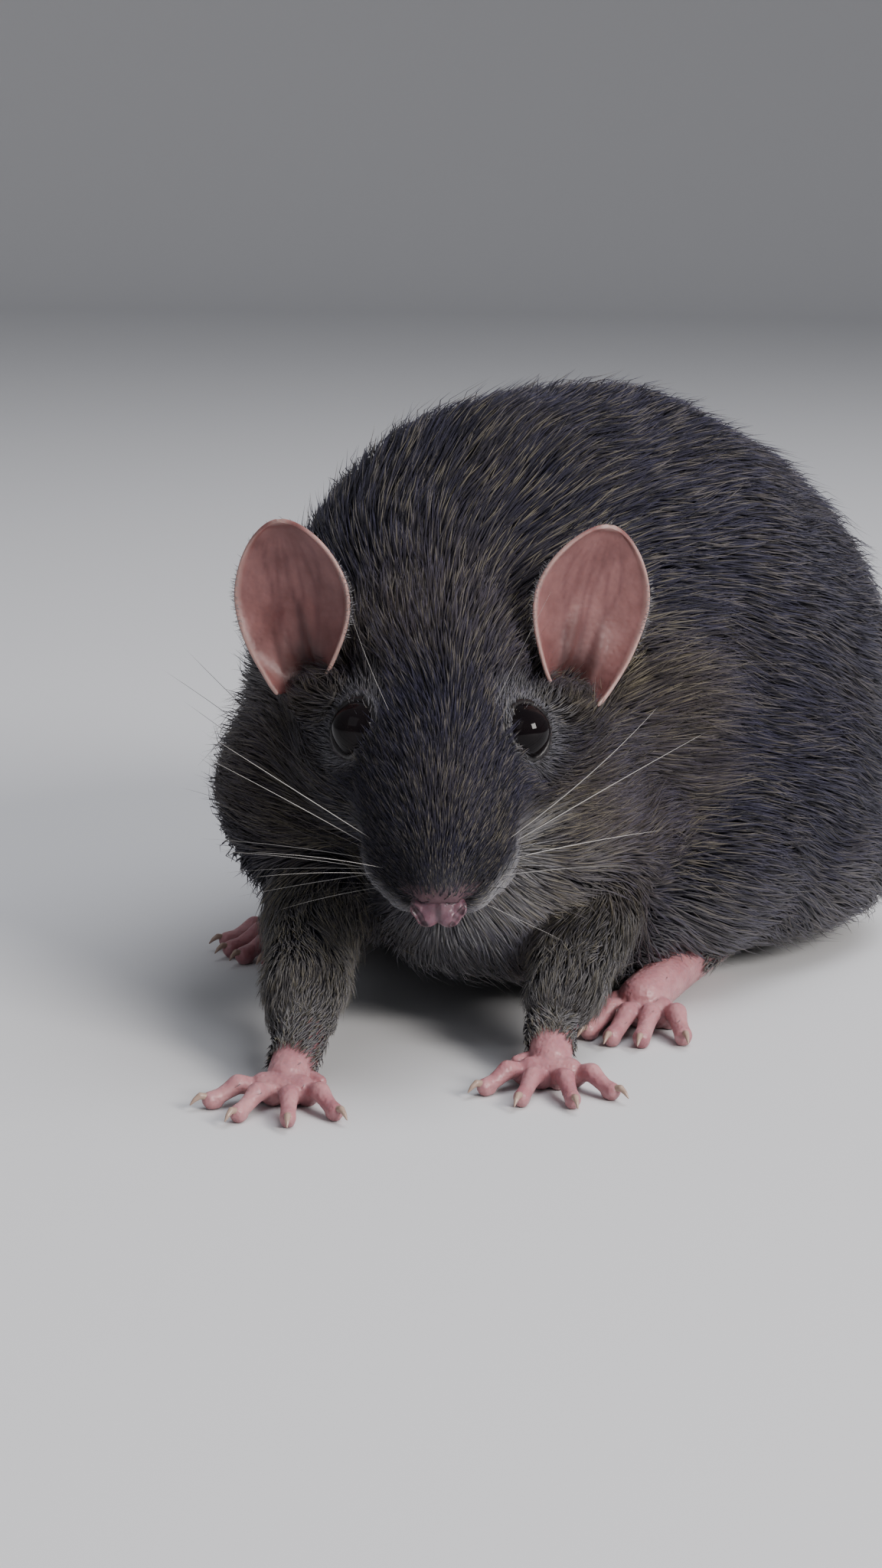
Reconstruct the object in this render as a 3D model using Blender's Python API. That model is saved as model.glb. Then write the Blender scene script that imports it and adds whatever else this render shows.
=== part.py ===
"""Pet rat, life size, crouched on its four feet with its head turned to its left.

The rat faces -Y, its left side is +X and it rests on the floor at z = 0. The coat is part of every
form: each solid reaches out to the tips of the fur. The body is one skin, made of egg-shaped masses
that are fused and smoothed, and it is then parted into head, neck, trunk, haunches and legs by thin
cuts. Ears, eyes, paws and tail are made on their own and fitted face to face.
"""

import math

import bmesh
import bpy
from mathutils import Matrix, Vector
from mathutils.bvhtree import BVHTree

MM = 0.001
GAP = 0.3 * MM  # between two nodes that touch

# Driving sizes of the animal
HEAD_TURN = math.radians(33)  # the way the nose points, from straight ahead towards its left
HEAD_PITCH = math.radians(40)  # and down
NOSE_TIP = Vector((23.5, -91.5, 24.0)) * MM
EYE_RADIUS = 3.8 * MM
EYE_PLACE = (26.8, 10.0, 1.3)  # behind the nose, out to the side, up: in the head's own axes, mm
LID_RADIUS = 0.75 * MM
MOUTH_DEPTH = 0.9 * MM
EARS = {  # the foot's middle in the head's axes, mm, then the height, and how far it tips outwards
    "left": ((36.4, 18.4, 1.0), 23.2 * MM, 0.14),
    "right": ((36.8, 19.2, 1.6), 22.4 * MM, 0.09),
}
EAR_WIDTH = 16.4 * MM
EAR_WALL = 0.9 * MM
EAR_BURIED = 0.16  # of its height
TAIL_LENGTH = 185 * MM
TAIL_ROOT_RADIUS = 5.2 * MM
TAIL_TIP_RADIUS = 1.3 * MM
TAIL_PARTS = 4
FORE_LEGS = {  # shoulder, elbow, middle of the forearm, wrist: mm, then the paw's heading in degrees
    "left": ((20, -44, 25), (24, -56, 17), (27, -66, 10.5), (28.5, -72.5, 5.0), 30),
    "right": ((-8, -61, 23), (-8, -73, 15), (0, -86, 11), (6.5, -96.5, 5.0), 20),
}
FORE_RADII = (11, 8.0, 5.2, 3.2)
HIND_FEET = {  # heel, ball, heading
    "left": ((24, -22, 5.2), (28.5, -49, 3.6), 8),
    "right": ((-26, -20, 5.2), (-31, -46, 3.6), -8),
}
FORE_DIGIT = (7.3, 1.2)  # length, radius: mm
HIND_DIGIT = (9.0, 1.4)
CLAW = (2.1, 0.4)
FLOOR_SINK = 0.35 * MM  # how much of each sole is cut flat

# Grain of the fused surfaces
MASS_VOXEL = 1.6 * MM
SKIN_VOXEL = 0.62 * MM
FINE_VOXEL = 0.36 * MM
HEAD_GRAIN = 7600  # triangles that the whole skin is thinned to before the head is cut from it
BODY_GRAIN = 2800  # and before the rest is

# Where the skin is parted: eggs (centre, half axes) in mm, the first two in the head's own axes
HEAD_CUT = ((17, 0, -4), (28, 32, 21))
NECK_CUT = ((42, 0, -11), (22, 32, 27))
THIGH_CUT = ((29, -9, 18), (20, 36, 28))
FORELEG_CUT = (11, 11, 18)  # half axes only: it lies round the forearm
WRIST_CUT = 0.78  # of the way from the middle of the forearm to the wrist
PAW_GRAIN = 580
EAR_GRAIN = 460
TAIL_GRAIN = 640

SIDES = (("left", 1), ("right", -1))


def clear_scene():
    for obj in list(bpy.data.objects):
        bpy.data.objects.remove(obj, do_unlink=True)


def finish(name, colour, roughness):
    """A plain Principled material."""
    material = bpy.data.materials.new(name)
    material.use_nodes = True
    shader = material.node_tree.nodes["Principled BSDF"]
    shader.inputs["Base Color"].default_value = (*colour, 1.0)
    shader.inputs["Roughness"].default_value = roughness
    return material


def link(name, mesh):
    obj = bpy.data.objects.new(name, mesh)
    bpy.context.scene.collection.objects.link(obj)
    return obj


def object_from(name, form):
    mesh = bpy.data.meshes.new(name)
    form.to_mesh(mesh)
    form.free()
    return link(name, mesh)


def egg(centre, axes, turn=None, rings=10):
    """Points of an ellipsoid, for hulls."""
    form = bmesh.new()
    bmesh.ops.create_uvsphere(form, u_segments=2 * rings, v_segments=rings, radius=1.0)
    place = Matrix.Translation(centre)
    if turn is not None:
        place = place @ turn.to_4x4()
    place = place @ Matrix.Diagonal((*axes, 1.0))
    points = [place @ vert.co for vert in form.verts]
    form.free()
    return points


def hull(form, points):
    """Adds the convex hull of some points to the form, as a closed shell of its own."""
    verts = [form.verts.new(point) for point in points]
    made = bmesh.ops.convex_hull(form, input=verts, use_existing_faces=False)
    spare = set(made["geom_interior"]) | set(made["geom_unused"])
    bmesh.ops.delete(form, geom=[v for v in spare if isinstance(v, bmesh.types.BMVert)], context="VERTS")


def chain(form, stations, turn=None, rings=10):
    """A rounded form through a row of (centre, axes) stations, each hulled to the next."""
    rows = [egg(Vector(centre), axes, turn, rings) for centre, axes in stations]
    if len(rows) == 1:
        hull(form, rows[0])
    for first, second in zip(rows, rows[1:]):
        hull(form, first + second)


def limb(form, points, radii, rings=6):
    """A round limb through points in mm, with its radius at each."""
    chain(form, [(Vector(p) * MM, (r * MM,) * 3) for p, r in zip(points, radii)], None, rings)


def apply_modifiers(obj):
    """Turns the object's evaluated mesh into its mesh."""
    graph = bpy.context.evaluated_depsgraph_get()
    made = bpy.data.meshes.new_from_object(obj.evaluated_get(graph))
    obj.modifiers.clear()
    old = obj.data
    obj.data = made
    bpy.data.meshes.remove(old)


def fuse(obj, voxel, smooth):
    """One skin over overlapping shells, smoothed."""
    remesh = obj.modifiers.new("Fuse", "REMESH")
    remesh.mode = "VOXEL"
    remesh.voxel_size = voxel
    soft = obj.modifiers.new("Soften", "SMOOTH")
    soft.factor = 0.5
    soft.iterations = smooth
    apply_modifiers(obj)


def thin_out(obj, faces):
    """Collapses the mesh to about a number of triangles."""
    decimate = obj.modifiers.new("Thin out", "DECIMATE")
    count = sum(len(polygon.vertices) - 2 for polygon in obj.data.polygons)
    decimate.ratio = min(1.0, faces / count)
    apply_modifiers(obj)


def boolean(obj, other, operation):
    cut = obj.modifiers.new("Cut", "BOOLEAN")
    cut.operation = operation
    cut.solver = "EXACT"
    cut.object = other
    apply_modifiers(obj)


def discard(*objects):
    for obj in objects:
        bpy.data.objects.remove(obj, do_unlink=True)


def copy_of(obj, name):
    return link(name, obj.data.copy())


def largest_piece(obj):
    """Keeps only the largest closed surface, and its triangles facing out."""
    form = bmesh.new()
    form.from_mesh(obj.data)
    bmesh.ops.remove_doubles(form, verts=form.verts, dist=0.002 * MM)
    left = set(form.verts)
    pieces = []
    while left:
        stack = [left.pop()]
        piece = set(stack)
        while stack:
            for edge in stack.pop().link_edges:
                for vert in edge.verts:
                    if vert in left:
                        left.remove(vert)
                        piece.add(vert)
                        stack.append(vert)
        pieces.append(piece)
    pieces.sort(key=spread, reverse=True)
    spare = [vert for piece in pieces[1:] for vert in piece]
    bmesh.ops.delete(form, geom=spare, context="VERTS")
    bmesh.ops.triangulate(form, faces=form.faces)
    bmesh.ops.recalc_face_normals(form, faces=form.faces)
    form.to_mesh(obj.data)
    form.free()


def spread(piece):
    """The size of the box round some vertices."""
    sides = [[vert.co[axis] for vert in piece] for axis in range(3)]
    return math.prod(max(side) - min(side) for side in sides)


def part_off(rest, name, inner, outer):
    """Parts the piece inside inner from rest, which loses all inside outer, GAP larger."""
    piece = copy_of(rest, name)
    boolean(piece, inner, "INTERSECT")
    boolean(rest, outer, "DIFFERENCE")
    discard(inner, outer)
    largest_piece(piece)
    largest_piece(rest)
    return piece


def half_space(point, normal, shift):
    """A large box whose face lies at point, facing against normal, moved by shift along it."""
    form = bmesh.new()
    bmesh.ops.create_cube(form, size=0.6)
    turn = Vector(normal).normalized().to_track_quat("Z", "Y").to_matrix()
    centre = Vector(point) + turn @ Vector((0.0, 0.0, 0.3 + shift))
    form.transform(Matrix.Translation(centre) @ turn.to_4x4())
    return object_from("cutter", form)


def part_by_plane(rest, name, point, normal):
    """Parts off what lies beyond a plane."""
    return part_off(rest, name, half_space(point, normal, GAP / 2), half_space(point, normal, -GAP / 2))


def egg_cutter(centre, axes, grow, turn=None):
    form = bmesh.new()
    hull(form, egg(Vector(centre), [axis + grow for axis in axes], turn, 10))
    return object_from("cutter", form)


def part_by_egg(rest, name, centre, axes, turn=None):
    """Parts off what lies inside an egg."""
    return part_off(rest, name, egg_cutter(centre, axes, 0.0, turn), egg_cutter(centre, axes, GAP, turn))


def fit_against(piece, base):
    """Cuts the piece back so that it meets the base with the gap between them."""
    cutter = copy_of(base, "cutter")
    swell = cutter.modifiers.new("Swell", "DISPLACE")
    swell.mid_level = 0.0
    swell.strength = GAP
    apply_modifiers(cutter)
    boolean(piece, cutter, "DIFFERENCE")
    discard(cutter)
    largest_piece(piece)


def flatten_soles(obj):
    """Cuts the underside flat at the floor."""
    cutter = half_space((0, 0, 0), (0, 0, -1), 0.0)
    boolean(obj, cutter, "DIFFERENCE")
    discard(cutter)
    largest_piece(obj)


# The head's own axes: b behind the nose tip, out to a side, up off the crown
FORWARD = Vector((
    math.cos(HEAD_PITCH) * math.sin(HEAD_TURN),
    -math.cos(HEAD_PITCH) * math.cos(HEAD_TURN),
    -math.sin(HEAD_PITCH),
))
LEFTWARD = Vector((math.cos(HEAD_TURN), math.sin(HEAD_TURN), 0.0))
UPWARD = FORWARD.cross(LEFTWARD)
HEAD_AXES = Matrix((-FORWARD, LEFTWARD, UPWARD)).transposed()  # columns: back, left, up


def head_point(back, left, up):
    return NOSE_TIP + HEAD_AXES @ (Vector((back, left, up)) * MM)


def head_egg(form, back, left, up, axes, rings=10):
    hull(form, egg(head_point(back, left, up), [a * MM for a in axes], HEAD_AXES, rings))


def head_chain(form, stations, rings=10):
    """Stations (back, left, up, (half length, half width, half height)) in mm, in the head's axes."""
    rows = [(head_point(b, l, u), [a * MM for a in axes]) for b, l, u, axes in stations]
    chain(form, rows, HEAD_AXES, rings)


def body_chain(form, stations, rings=12):
    """Stations (centre, half axes) in mm, along the body."""
    chain(form, [(Vector(centre) * MM, [a * MM for a in axes]) for centre, axes in stations], None, rings)


def body_masses():
    """Trunk, rump, haunches, flanks, shoulders, belly, breast and nape as egg-shaped masses."""
    form = bmesh.new()
    body_chain(form, (
        ((1, 26, 31), (28, 24, 30)),
        ((1, 8, 38), (35, 26, 37)),
        ((0, -14, 43), (37, 28, 40)),
        ((-3, -35, 44), (34, 25, 38)),
        ((-5, -51, 39), (28, 20, 33)),
    ), 14)
    body_chain(form, (((1, 32, 25), (22, 18, 22)), ((2, 46, 12), (9, 8, 9))))
    for side in (1, -1):
        body_chain(form, (((20 * side + 1, -2, 26), (18, 30, 25)), ((24 * side + 1, -26, 18), (13, 18, 15))))
        body_chain(form, (((26 * side + 1, 0, 11), (13, 26, 10)),))
        body_chain(form, (((21 * side, -44, 14), (10, 14, 11)),))
    body_chain(form, (((16, -54, 25), (15, 17, 20)),))
    body_chain(form, (((-14, -61, 29), (16.5, 17, 19)),))
    body_chain(form, (((0, -36, 18), (24, 22, 15)), ((1, 4, 18), (28, 30, 16))))
    body_chain(form, (((0, -45, 22), (21, 18, 16)), ((8, -61, 18), (14, 14, 12))))
    body_chain(form, (((-2, -52, 42), (19, 18, 23)), (head_point(45, 0, -10) / MM, (16.5, 16.5, 18))))
    return form


def head_masses(form):
    """Skull, snout, jaw and cheeks."""
    head_chain(form, (
        (3.6, 0, 0.0, (3.2, 4.4, 4.0)),
        (9, 0, -1.0, (6, 7.6, 7.4)),
        (17, 0, -1.8, (7, 10.4, 10.2)),
        (27, 0, -3.5, (9, 13.2, 12.6)),
        (37, 0, -5.5, (10, 17.0, 15.0)),
        (46, 0, -8, (11, 19.0, 17.0)),
    ))
    head_chain(form, (
        (12.5, 0, -8.6, (4.0, 4.4, 3.8)),
        (22, 0, -11.5, (7, 9.5, 7.5)),
        (38, 0, -14, (10, 15.0, 11.0)),
    ))
    for side in (1, -1):
        head_egg(form, 33, 10.5 * side, -8.5, (13, 9.5, 11.5))
        head_egg(form, 37, 14.5 * side, -1.5, (6.5, 5.5, 6.5))


def make_body():
    """The whole furred body as one skin, with the head's fine forms."""
    form = body_masses()
    head_masses(form)
    body = object_from("torso", form)
    fuse(body, MASS_VOXEL, 10)
    form = bmesh.new()
    form.from_mesh(body.data)
    head_details(form)
    leg_roots(form)
    discard(body)
    body = object_from("torso", form)
    fuse(body, SKIN_VOXEL, 4)
    return body


def head_details(form):
    """Nose pads, whisker pads, lips and lids."""
    head_chain(form, ((1.6, 0, 0.6, (1.7, 2.6, 2.1)), (4.5, 0, 0.6, (3, 3.6, 3.2))), 8)
    for side in (1, -1):
        head_egg(form, 1.7, 1.5 * side, 0.5, (1.7, 1.7, 1.9), 8)
        head_chain(form, ((6.2, 3.6 * side, -3.6, (3.4, 3.4, 3.6)), (13, 5.8 * side, -4.2, (8, 4.4, 4.6))), 8)
        lids(form, side)
    head_chain(form, ((9.2, 0, -9.4, (2.2, 2.7, 2.3)), (13.5, 0, -11.2, (3.4, 4.4, 3.0))), 8)


def eye_centre(side):
    back, out, up = EYE_PLACE
    return head_point(back, out * side, up)


def eye_axes(side):
    """Columns: along the slit towards the nose, across it, and out of the eye."""
    out = (HEAD_AXES @ Vector((-0.36, 0.86 * side, 0.36))).normalized()
    along = (HEAD_AXES @ Vector((-1.0, 0.0, -0.62))).normalized()
    along = (along - out * along.dot(out)).normalized()
    return Matrix((along, out.cross(along), out)).transposed()


def lids(form, side):
    """A ring of small beads round the eye's opening, pointed a little at its corners."""
    axes = eye_axes(side)
    count = 22
    ring = []
    for step in range(count):
        turn = 2 * math.pi * step / count
        open_angle = math.radians(53 + 11 * abs(math.cos(turn)) ** 1.5)
        way = Vector((
            math.sin(open_angle) * math.cos(turn),
            math.sin(open_angle) * math.sin(turn),
            math.cos(open_angle),
        ))
        ring.append(eye_centre(side) + axes @ way * (EYE_RADIUS + 0.35 * MM))
    bed = [eye_centre(side) + (point - eye_centre(side)) * 0.98 - axes.col[2] * 1.5 * MM for point in ring]
    for row, radius in ((ring, LID_RADIUS), (bed, 1.7 * LID_RADIUS)):
        for first, second in zip(row, row[1:] + row[:1]):
            hull(form, egg(first, (radius,) * 3, None, 4) + egg(second, (radius,) * 3, None, 4))


def leg_roots(form):
    """The upper arms and forearms, down to the wrists."""
    for shoulder, elbow, middle, wrist, _heading in FORE_LEGS.values():
        limb(form, (shoulder, elbow, middle, wrist), FORE_RADII)


def digit(form, root, heading, size, lift, spread_angle, claw):
    """One toe along the floor from its root, with an arched middle joint, and its claw."""
    length, radius = size
    angle = heading + spread_angle
    way = Vector((math.sin(angle), -math.cos(angle), 0.0))
    root = Vector(root)
    knuckle = root + way * length * 0.45 + Vector((0, 0, lift))
    last = root + way * length * 0.8
    last.z = radius * 0.95
    tip = root + way * length
    tip.z = radius * 0.85
    limb(form, (root, knuckle, last, tip), (radius * 1.15, radius, radius * 0.92, radius * 0.9))
    claw_length, claw_radius = claw
    nail = tip + way * (radius * 0.5 + claw_length * 0.55) + Vector((0, 0, 0.35))
    point = tip + way * (radius * 0.6 + claw_length)
    point.z = 0.55
    limb(form, (tip + Vector((0, 0, 0.4)), nail, point), (claw_radius * 1.7, claw_radius * 1.2, claw_radius))


def forepaw(side):
    """Wrist, palm, four toes and the thumb's stub on the inner side."""
    form = bmesh.new()
    sign = dict(SIDES)[side]
    _shoulder, _elbow, middle, wrist, degrees = FORE_LEGS[side]
    heading = math.radians(degrees)
    way = Vector((math.sin(heading), -math.cos(heading), 0.0))
    across = Vector((math.cos(heading), math.sin(heading), 0.0))
    wrist = Vector(wrist)
    palm = wrist + way * 5.0
    palm.z = 2.5
    limb(form, (Vector(middle), wrist, palm), (4.6, 3.2, 3.0))
    front = palm + way * 2.2
    front.z = 2.0
    limb(form, (front - across * 2.4, front + across * 2.4), (1.9, 1.9))
    for place, angle, length in ((-3.0, -48, 0.92), (-1.1, -17, 1.05), (1.1, 14, 1.05), (3.0, 46, 0.92)):
        root = front + across * place + way * (0.6 if abs(place) < 2 else -0.4)
        digit(form, root, heading, (FORE_DIGIT[0] * length, FORE_DIGIT[1]), 0.5, math.radians(angle), CLAW)
    stub = palm - across * (2.9 * sign) - way * 0.6
    limb(form, (stub, stub - across * (1.3 * sign) + way * 0.9), (1.1, 0.9))
    obj = object_from("forepaw_" + side, form)
    fuse(obj, FINE_VOXEL, 2)
    flatten_soles(obj)
    thin_out(obj, PAW_GRAIN)
    return obj


def hindfoot(side):
    """The long sole with five toes."""
    form = bmesh.new()
    heel, ball, degrees = HIND_FEET[side]
    heading = math.radians(degrees)
    way = Vector((math.sin(heading), -math.cos(heading), 0.0))
    across = Vector((math.cos(heading), math.sin(heading), 0.0))
    heel, ball = Vector(heel), Vector(ball)
    limb(form, (heel, (heel + ball) / 2, ball), (4.4, 3.7, 3.4))
    front = ball + way * 0.8
    front.z = 2.4
    limb(form, (front - across * 3.0, front + across * 3.0), (2.2, 2.2))
    toes = ((-4.0, -26, 0.86), (-2.1, -10, 1.05), (0.0, 0, 1.1), (2.1, 10, 1.05), (4.0, 34, 0.84))
    for place, angle, length in toes:
        root = front + across * place - way * (0.28 * abs(place))
        digit(form, root, heading, (HIND_DIGIT[0] * length, HIND_DIGIT[1]), 0.6, math.radians(angle), CLAW)
    obj = object_from("hindfoot_" + side, form)
    fuse(obj, FINE_VOXEL, 2)
    flatten_soles(obj)
    thin_out(obj, PAW_GRAIN)
    return obj


def ear_axes(side, sign):
    """Columns: across the ear, up it, and out of its mouth."""
    _foot, _height, tip_out = EARS[side]
    ahead = Vector((FORWARD.x, FORWARD.y, 0.0))
    rise = (Vector((0.0, 0.0, 1.0)) + LEFTWARD * (tip_out * sign) - ahead * 0.1).normalized()
    face = ahead.normalized() + LEFTWARD * (0.43 * sign) + Vector((0.0, 0.0, 0.05))
    face = (face - rise * face.dot(rise)).normalized()
    return Matrix((rise.cross(face), rise, face)).transposed()


def ear_outline(level, widest=0.56, foot=0.3):
    """Half the ear's width, of its greatest, at a level from its foot, 0, to its top, 1."""
    if level > widest:
        return math.sqrt(max(0.0, 1 - ((level - widest) / (1 - widest)) ** 2))
    return foot + (1 - foot) * math.sin(math.pi / 2 * level / widest) ** 0.85


def ear(side, sign):
    """A thin cup: an oval sheet, bowed across and along, given its wall by Solidify."""
    form = bmesh.new()
    axes = ear_axes(side, sign)
    place, height, _tip_out = EARS[side]
    foot = head_point(place[0], place[1] * sign, place[2])
    rows, columns = 16, 12
    grid = []
    for row in range(rows + 1):
        level = 1 - (1 - row / rows) ** 1.35
        half = max(0.05, ear_outline(level)) * EAR_WIDTH / 2
        curl = 0.95 * (1 - 0.45 * level)
        line = []
        for column in range(columns + 1):
            aside = curl * (2 * column / columns - 1)
            x = half * math.sin(aside) / math.sin(curl)
            depth = 0.9 * half * (math.cos(aside) - math.cos(curl)) + 1.6 * MM * math.sin(math.pi * level)
            line.append(form.verts.new(foot + axes @ Vector((x, (level - EAR_BURIED) * height, -depth))))
        grid.append(line)
    for low, high in zip(grid, grid[1:]):
        for k in range(columns):
            form.faces.new((low[k], low[k + 1], high[k + 1], high[k]))
    bmesh.ops.recalc_face_normals(form, faces=form.faces)
    obj = object_from("ear_" + side, form)
    wall = obj.modifiers.new("Wall", "SOLIDIFY")
    wall.thickness = EAR_WALL
    wall.offset = 0.0
    apply_modifiers(obj)
    form = bmesh.new()
    form.from_mesh(obj.data)
    root = foot - axes @ Vector((0, 0.14 * height, 1.5 * MM))
    hull(form, egg(root, (3.2 * MM, 4.0 * MM, 2.4 * MM), axes, 6))
    discard(obj)
    obj = object_from("ear_" + side, form)
    fuse(obj, 0.3 * MM, 2)
    thin_out(obj, EAR_GRAIN)
    return obj


def eye(side, sign):
    form = bmesh.new()
    bmesh.ops.create_uvsphere(form, u_segments=16, v_segments=8, radius=EYE_RADIUS)
    form.transform(Matrix.Translation(eye_centre(sign)) @ eye_axes(sign).to_4x4())
    return object_from("eye_" + side, form)


def tail_point(along):
    """The tail's middle at a length from its root: straight back, then a wide bend to its left."""
    start = Vector((2 * MM, 48 * MM, 0))
    straight = 35 * MM
    bend = 95 * MM  # radius
    if along <= straight:
        return start + Vector((0, along, 0))
    angle = (along - straight) / bend
    return start + Vector((bend * (1 - math.cos(angle)), straight + bend * math.sin(angle), 0))


def tail():
    """A tapering round tail that lies on the floor."""
    steps = 44
    points = []
    radii = []
    for step in range(steps + 1):
        share = step / steps
        radius = TAIL_ROOT_RADIUS + (TAIL_TIP_RADIUS - TAIL_ROOT_RADIUS) * share**0.85
        point = tail_point(-8 * MM + share * (TAIL_LENGTH + 8 * MM))
        point.z = radius - FLOOR_SINK + 5 * MM * max(0.0, 1 - share * 6) ** 2
        points.append(point / MM)
        radii.append(radius / MM)
    form = bmesh.new()
    limb(form, points, radii, 6)
    obj = object_from("tail_1", form)
    fuse(obj, 0.6 * MM, 2)
    flatten_soles(obj)
    thin_out(obj, TAIL_GRAIN)
    return obj


def groove(head, starts, radii):
    """Cuts a narrow groove into the surface where rays from inside the head meet it.

    starts holds rows of (inner point, way) in the head's axes, and radii the groove's half width at each.
    """
    tree = BVHTree.FromObject(head, bpy.context.evaluated_depsgraph_get())
    form = bmesh.new()
    rows = []
    for (inner, way), radius in zip(starts, radii):
        out = (HEAD_AXES @ Vector(way)).normalized()
        spot = tree.ray_cast(head_point(*inner), out)[0]
        deep = egg(spot - out * MOUTH_DEPTH, (radius * 0.5,) * 3, None, 4)
        rows.append(deep + egg(spot + out * 0.8 * MM, (radius,) * 3, None, 4))
    for first, second in zip(rows, rows[1:]):
        hull(form, first + second)
    cut_with(head, form)


def mouth(head):
    """The cleft under the nose, the line of the mouth on both sides, and the nostrils."""
    lip = (11.0, 0, -5.5)
    cleft = [((6.0, 0, -1.5), (-1.0, 0, -0.2 - 0.3 * step)) for step in range(6)]
    groove(head, cleft, [0.36 * MM] * 6)
    for sign in (1, -1):
        line = []
        for step in range(8):
            turn = math.radians(-3 + 15 * step)
            line.append((lip, (-math.cos(turn), math.sin(turn) * sign, -0.72 + 0.03 * step)))
        groove(head, line, [(0.55 - 0.035 * step) * MM for step in range(8)])
    for sign in (1, -1):
        comma = []
        for step in range(4):
            comma.append(((4.0, 0.6 * sign, 0.4), (-1.0, (0.32 + 0.3 * step) * sign, -0.16 + 0.14 * step)))
        groove(head, comma, [(0.62 - 0.1 * step) * MM for step in range(4)])
    largest_piece(head)


def cut_with(obj, form):
    """Cuts the form's fused shells from the object."""
    cutter = object_from("cutter", form)
    remesh = cutter.modifiers.new("Fuse", "REMESH")
    remesh.mode = "VOXEL"
    remesh.voxel_size = 0.18 * MM
    apply_modifiers(cutter)
    thin_out(cutter, 140)
    boolean(obj, cutter, "DIFFERENCE")
    discard(cutter)


def part_wrist(body, side):
    """Makes a paw, parts its wrist from it at the forearm's end, and clears the body's stump there."""
    _shoulder, _elbow, middle, wrist, _heading = FORE_LEGS[side]
    cut = Vector(middle).lerp(Vector(wrist), WRIST_CUT) * MM
    way = Vector(wrist) - Vector(middle)
    whole = forepaw(side)
    paw = part_off(whole, "forepaw_" + side, half_space(cut, way, GAP / 2), half_space(cut, way, 0.0))
    discard(whole)
    turn = way.to_track_quat("Z", "Y").to_matrix()
    blocks = []
    for shift in (GAP / 2, -GAP / 2):
        form = bmesh.new()
        bmesh.ops.create_cube(form, size=16 * MM)
        centre = cut + turn @ Vector((0.0, 0.0, 8 * MM + shift))
        form.transform(Matrix.Translation(centre) @ turn.to_4x4())
        blocks.append(object_from("cutter", form))
    discard(part_off(body, "stump", *blocks))
    return paw


def part_foreleg(body, side):
    """Parts a foreleg from the body by an egg round its elbow and forearm."""
    _shoulder, elbow, _middle, wrist, _heading = FORE_LEGS[side]
    way = (Vector(elbow) - Vector(wrist)).normalized()
    centre = (Vector(elbow).lerp(Vector(wrist), 0.55) - way * 2) * MM
    axes = [axis * MM for axis in FORELEG_CUT]
    return part_by_egg(body, "foreleg_" + side, centre, axes, way.to_track_quat("Z", "Y").to_matrix())


def part_skin(nodes):
    """Makes the furred skin and parts it into head, neck, torso, thighs and forelegs."""
    body = make_body()
    flatten_soles(body)
    fine = copy_of(body, "fine")
    thin_out(fine, HEAD_GRAIN)
    thin_out(body, BODY_GRAIN)
    for side, _sign in SIDES:
        nodes["forepaw_" + side] = part_wrist(body, side)
    for side, _sign in SIDES:
        nodes["foreleg_" + side] = part_foreleg(body, side)
        discard(part_foreleg(fine, side))
    place = head_point(*HEAD_CUT[0])
    axes = [axis * MM for axis in HEAD_CUT[1]]
    nodes["head"] = part_by_egg(fine, "head", place, axes, HEAD_AXES)
    discard(fine, part_by_egg(body, "coarse", place, axes, HEAD_AXES))
    for side, sign in SIDES:
        (aside, along, up), axes = THIGH_CUT
        centre = Vector((aside * sign + 1, along, up)) * MM
        nodes["thigh_" + side] = part_by_egg(body, "thigh_" + side, centre, [axis * MM for axis in axes])
    axes = [axis * MM for axis in NECK_CUT[1]]
    nodes["neck"] = part_by_egg(body, "neck", head_point(*NECK_CUT[0]), axes, HEAD_AXES)
    nodes["torso"] = body


def fit_head(nodes):
    """Mouth, nostrils, eyes in their sockets, and ears on the head and neck."""
    head = nodes["head"]
    mouth(head)
    for side, sign in SIDES:
        ball = eye(side, sign)
        fit_against(head, ball)
        nodes[ball.name] = ball
    for side, sign in SIDES:
        cup = ear(side, sign)
        fit_against(cup, head)
        fit_against(cup, nodes["neck"])
        nodes[cup.name] = cup


def fit_feet(nodes):
    for side, _sign in SIDES:
        foot = hindfoot(side)
        for base in ("thigh_" + side, "torso", "foreleg_" + side):
            fit_against(foot, nodes[base])
        nodes[foot.name] = foot


def fit_tail(nodes):
    """The tail, parted into equal lengths from its tip back."""
    whole = tail()
    fit_against(whole, nodes["torso"])
    for index in range(TAIL_PARTS - 1, 0, -1):
        along = TAIL_LENGTH * index / TAIL_PARTS
        way = tail_point(along + MM) - tail_point(along - MM)
        name = f"tail_{index + 1}"
        nodes[name] = part_by_plane(whole, name, tail_point(along), way)
    nodes["tail_1"] = whole


def centre_origin(objects):
    """Puts the origin at the middle of the whole animal's box, on the floor."""
    points = [vert.co for obj in objects for vert in obj.data.vertices]
    low = [min(point[axis] for point in points) for axis in range(3)]
    high = [max(point[axis] for point in points) for axis in range(3)]
    shift = Vector((-(low[0] + high[0]) / 2, -(low[1] + high[1]) / 2, -low[2]))
    for obj in objects:
        obj.data.transform(Matrix.Translation(shift))


def dress(nodes):
    """Names each object for its node and gives it its material."""
    coat = finish("coat", (0.035, 0.032, 0.030), 0.8)
    looks = {
        "ear": finish("ear_skin", (0.55, 0.30, 0.28), 0.55),
        "eye": finish("eye", (0.006, 0.005, 0.006), 0.08),
        "forepaw": finish("paw_skin", (0.58, 0.36, 0.36), 0.5),
        "tail": finish("tail_skin", (0.33, 0.22, 0.20), 0.7),
    }
    looks["hindfoot"] = looks["forepaw"]
    for name, obj in nodes.items():
        obj.name = name
        obj.data.name = name
        obj.data.materials.clear()
        obj.data.materials.append(looks.get(name.split("_")[0], coat))
        obj.data.shade_smooth()


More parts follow.
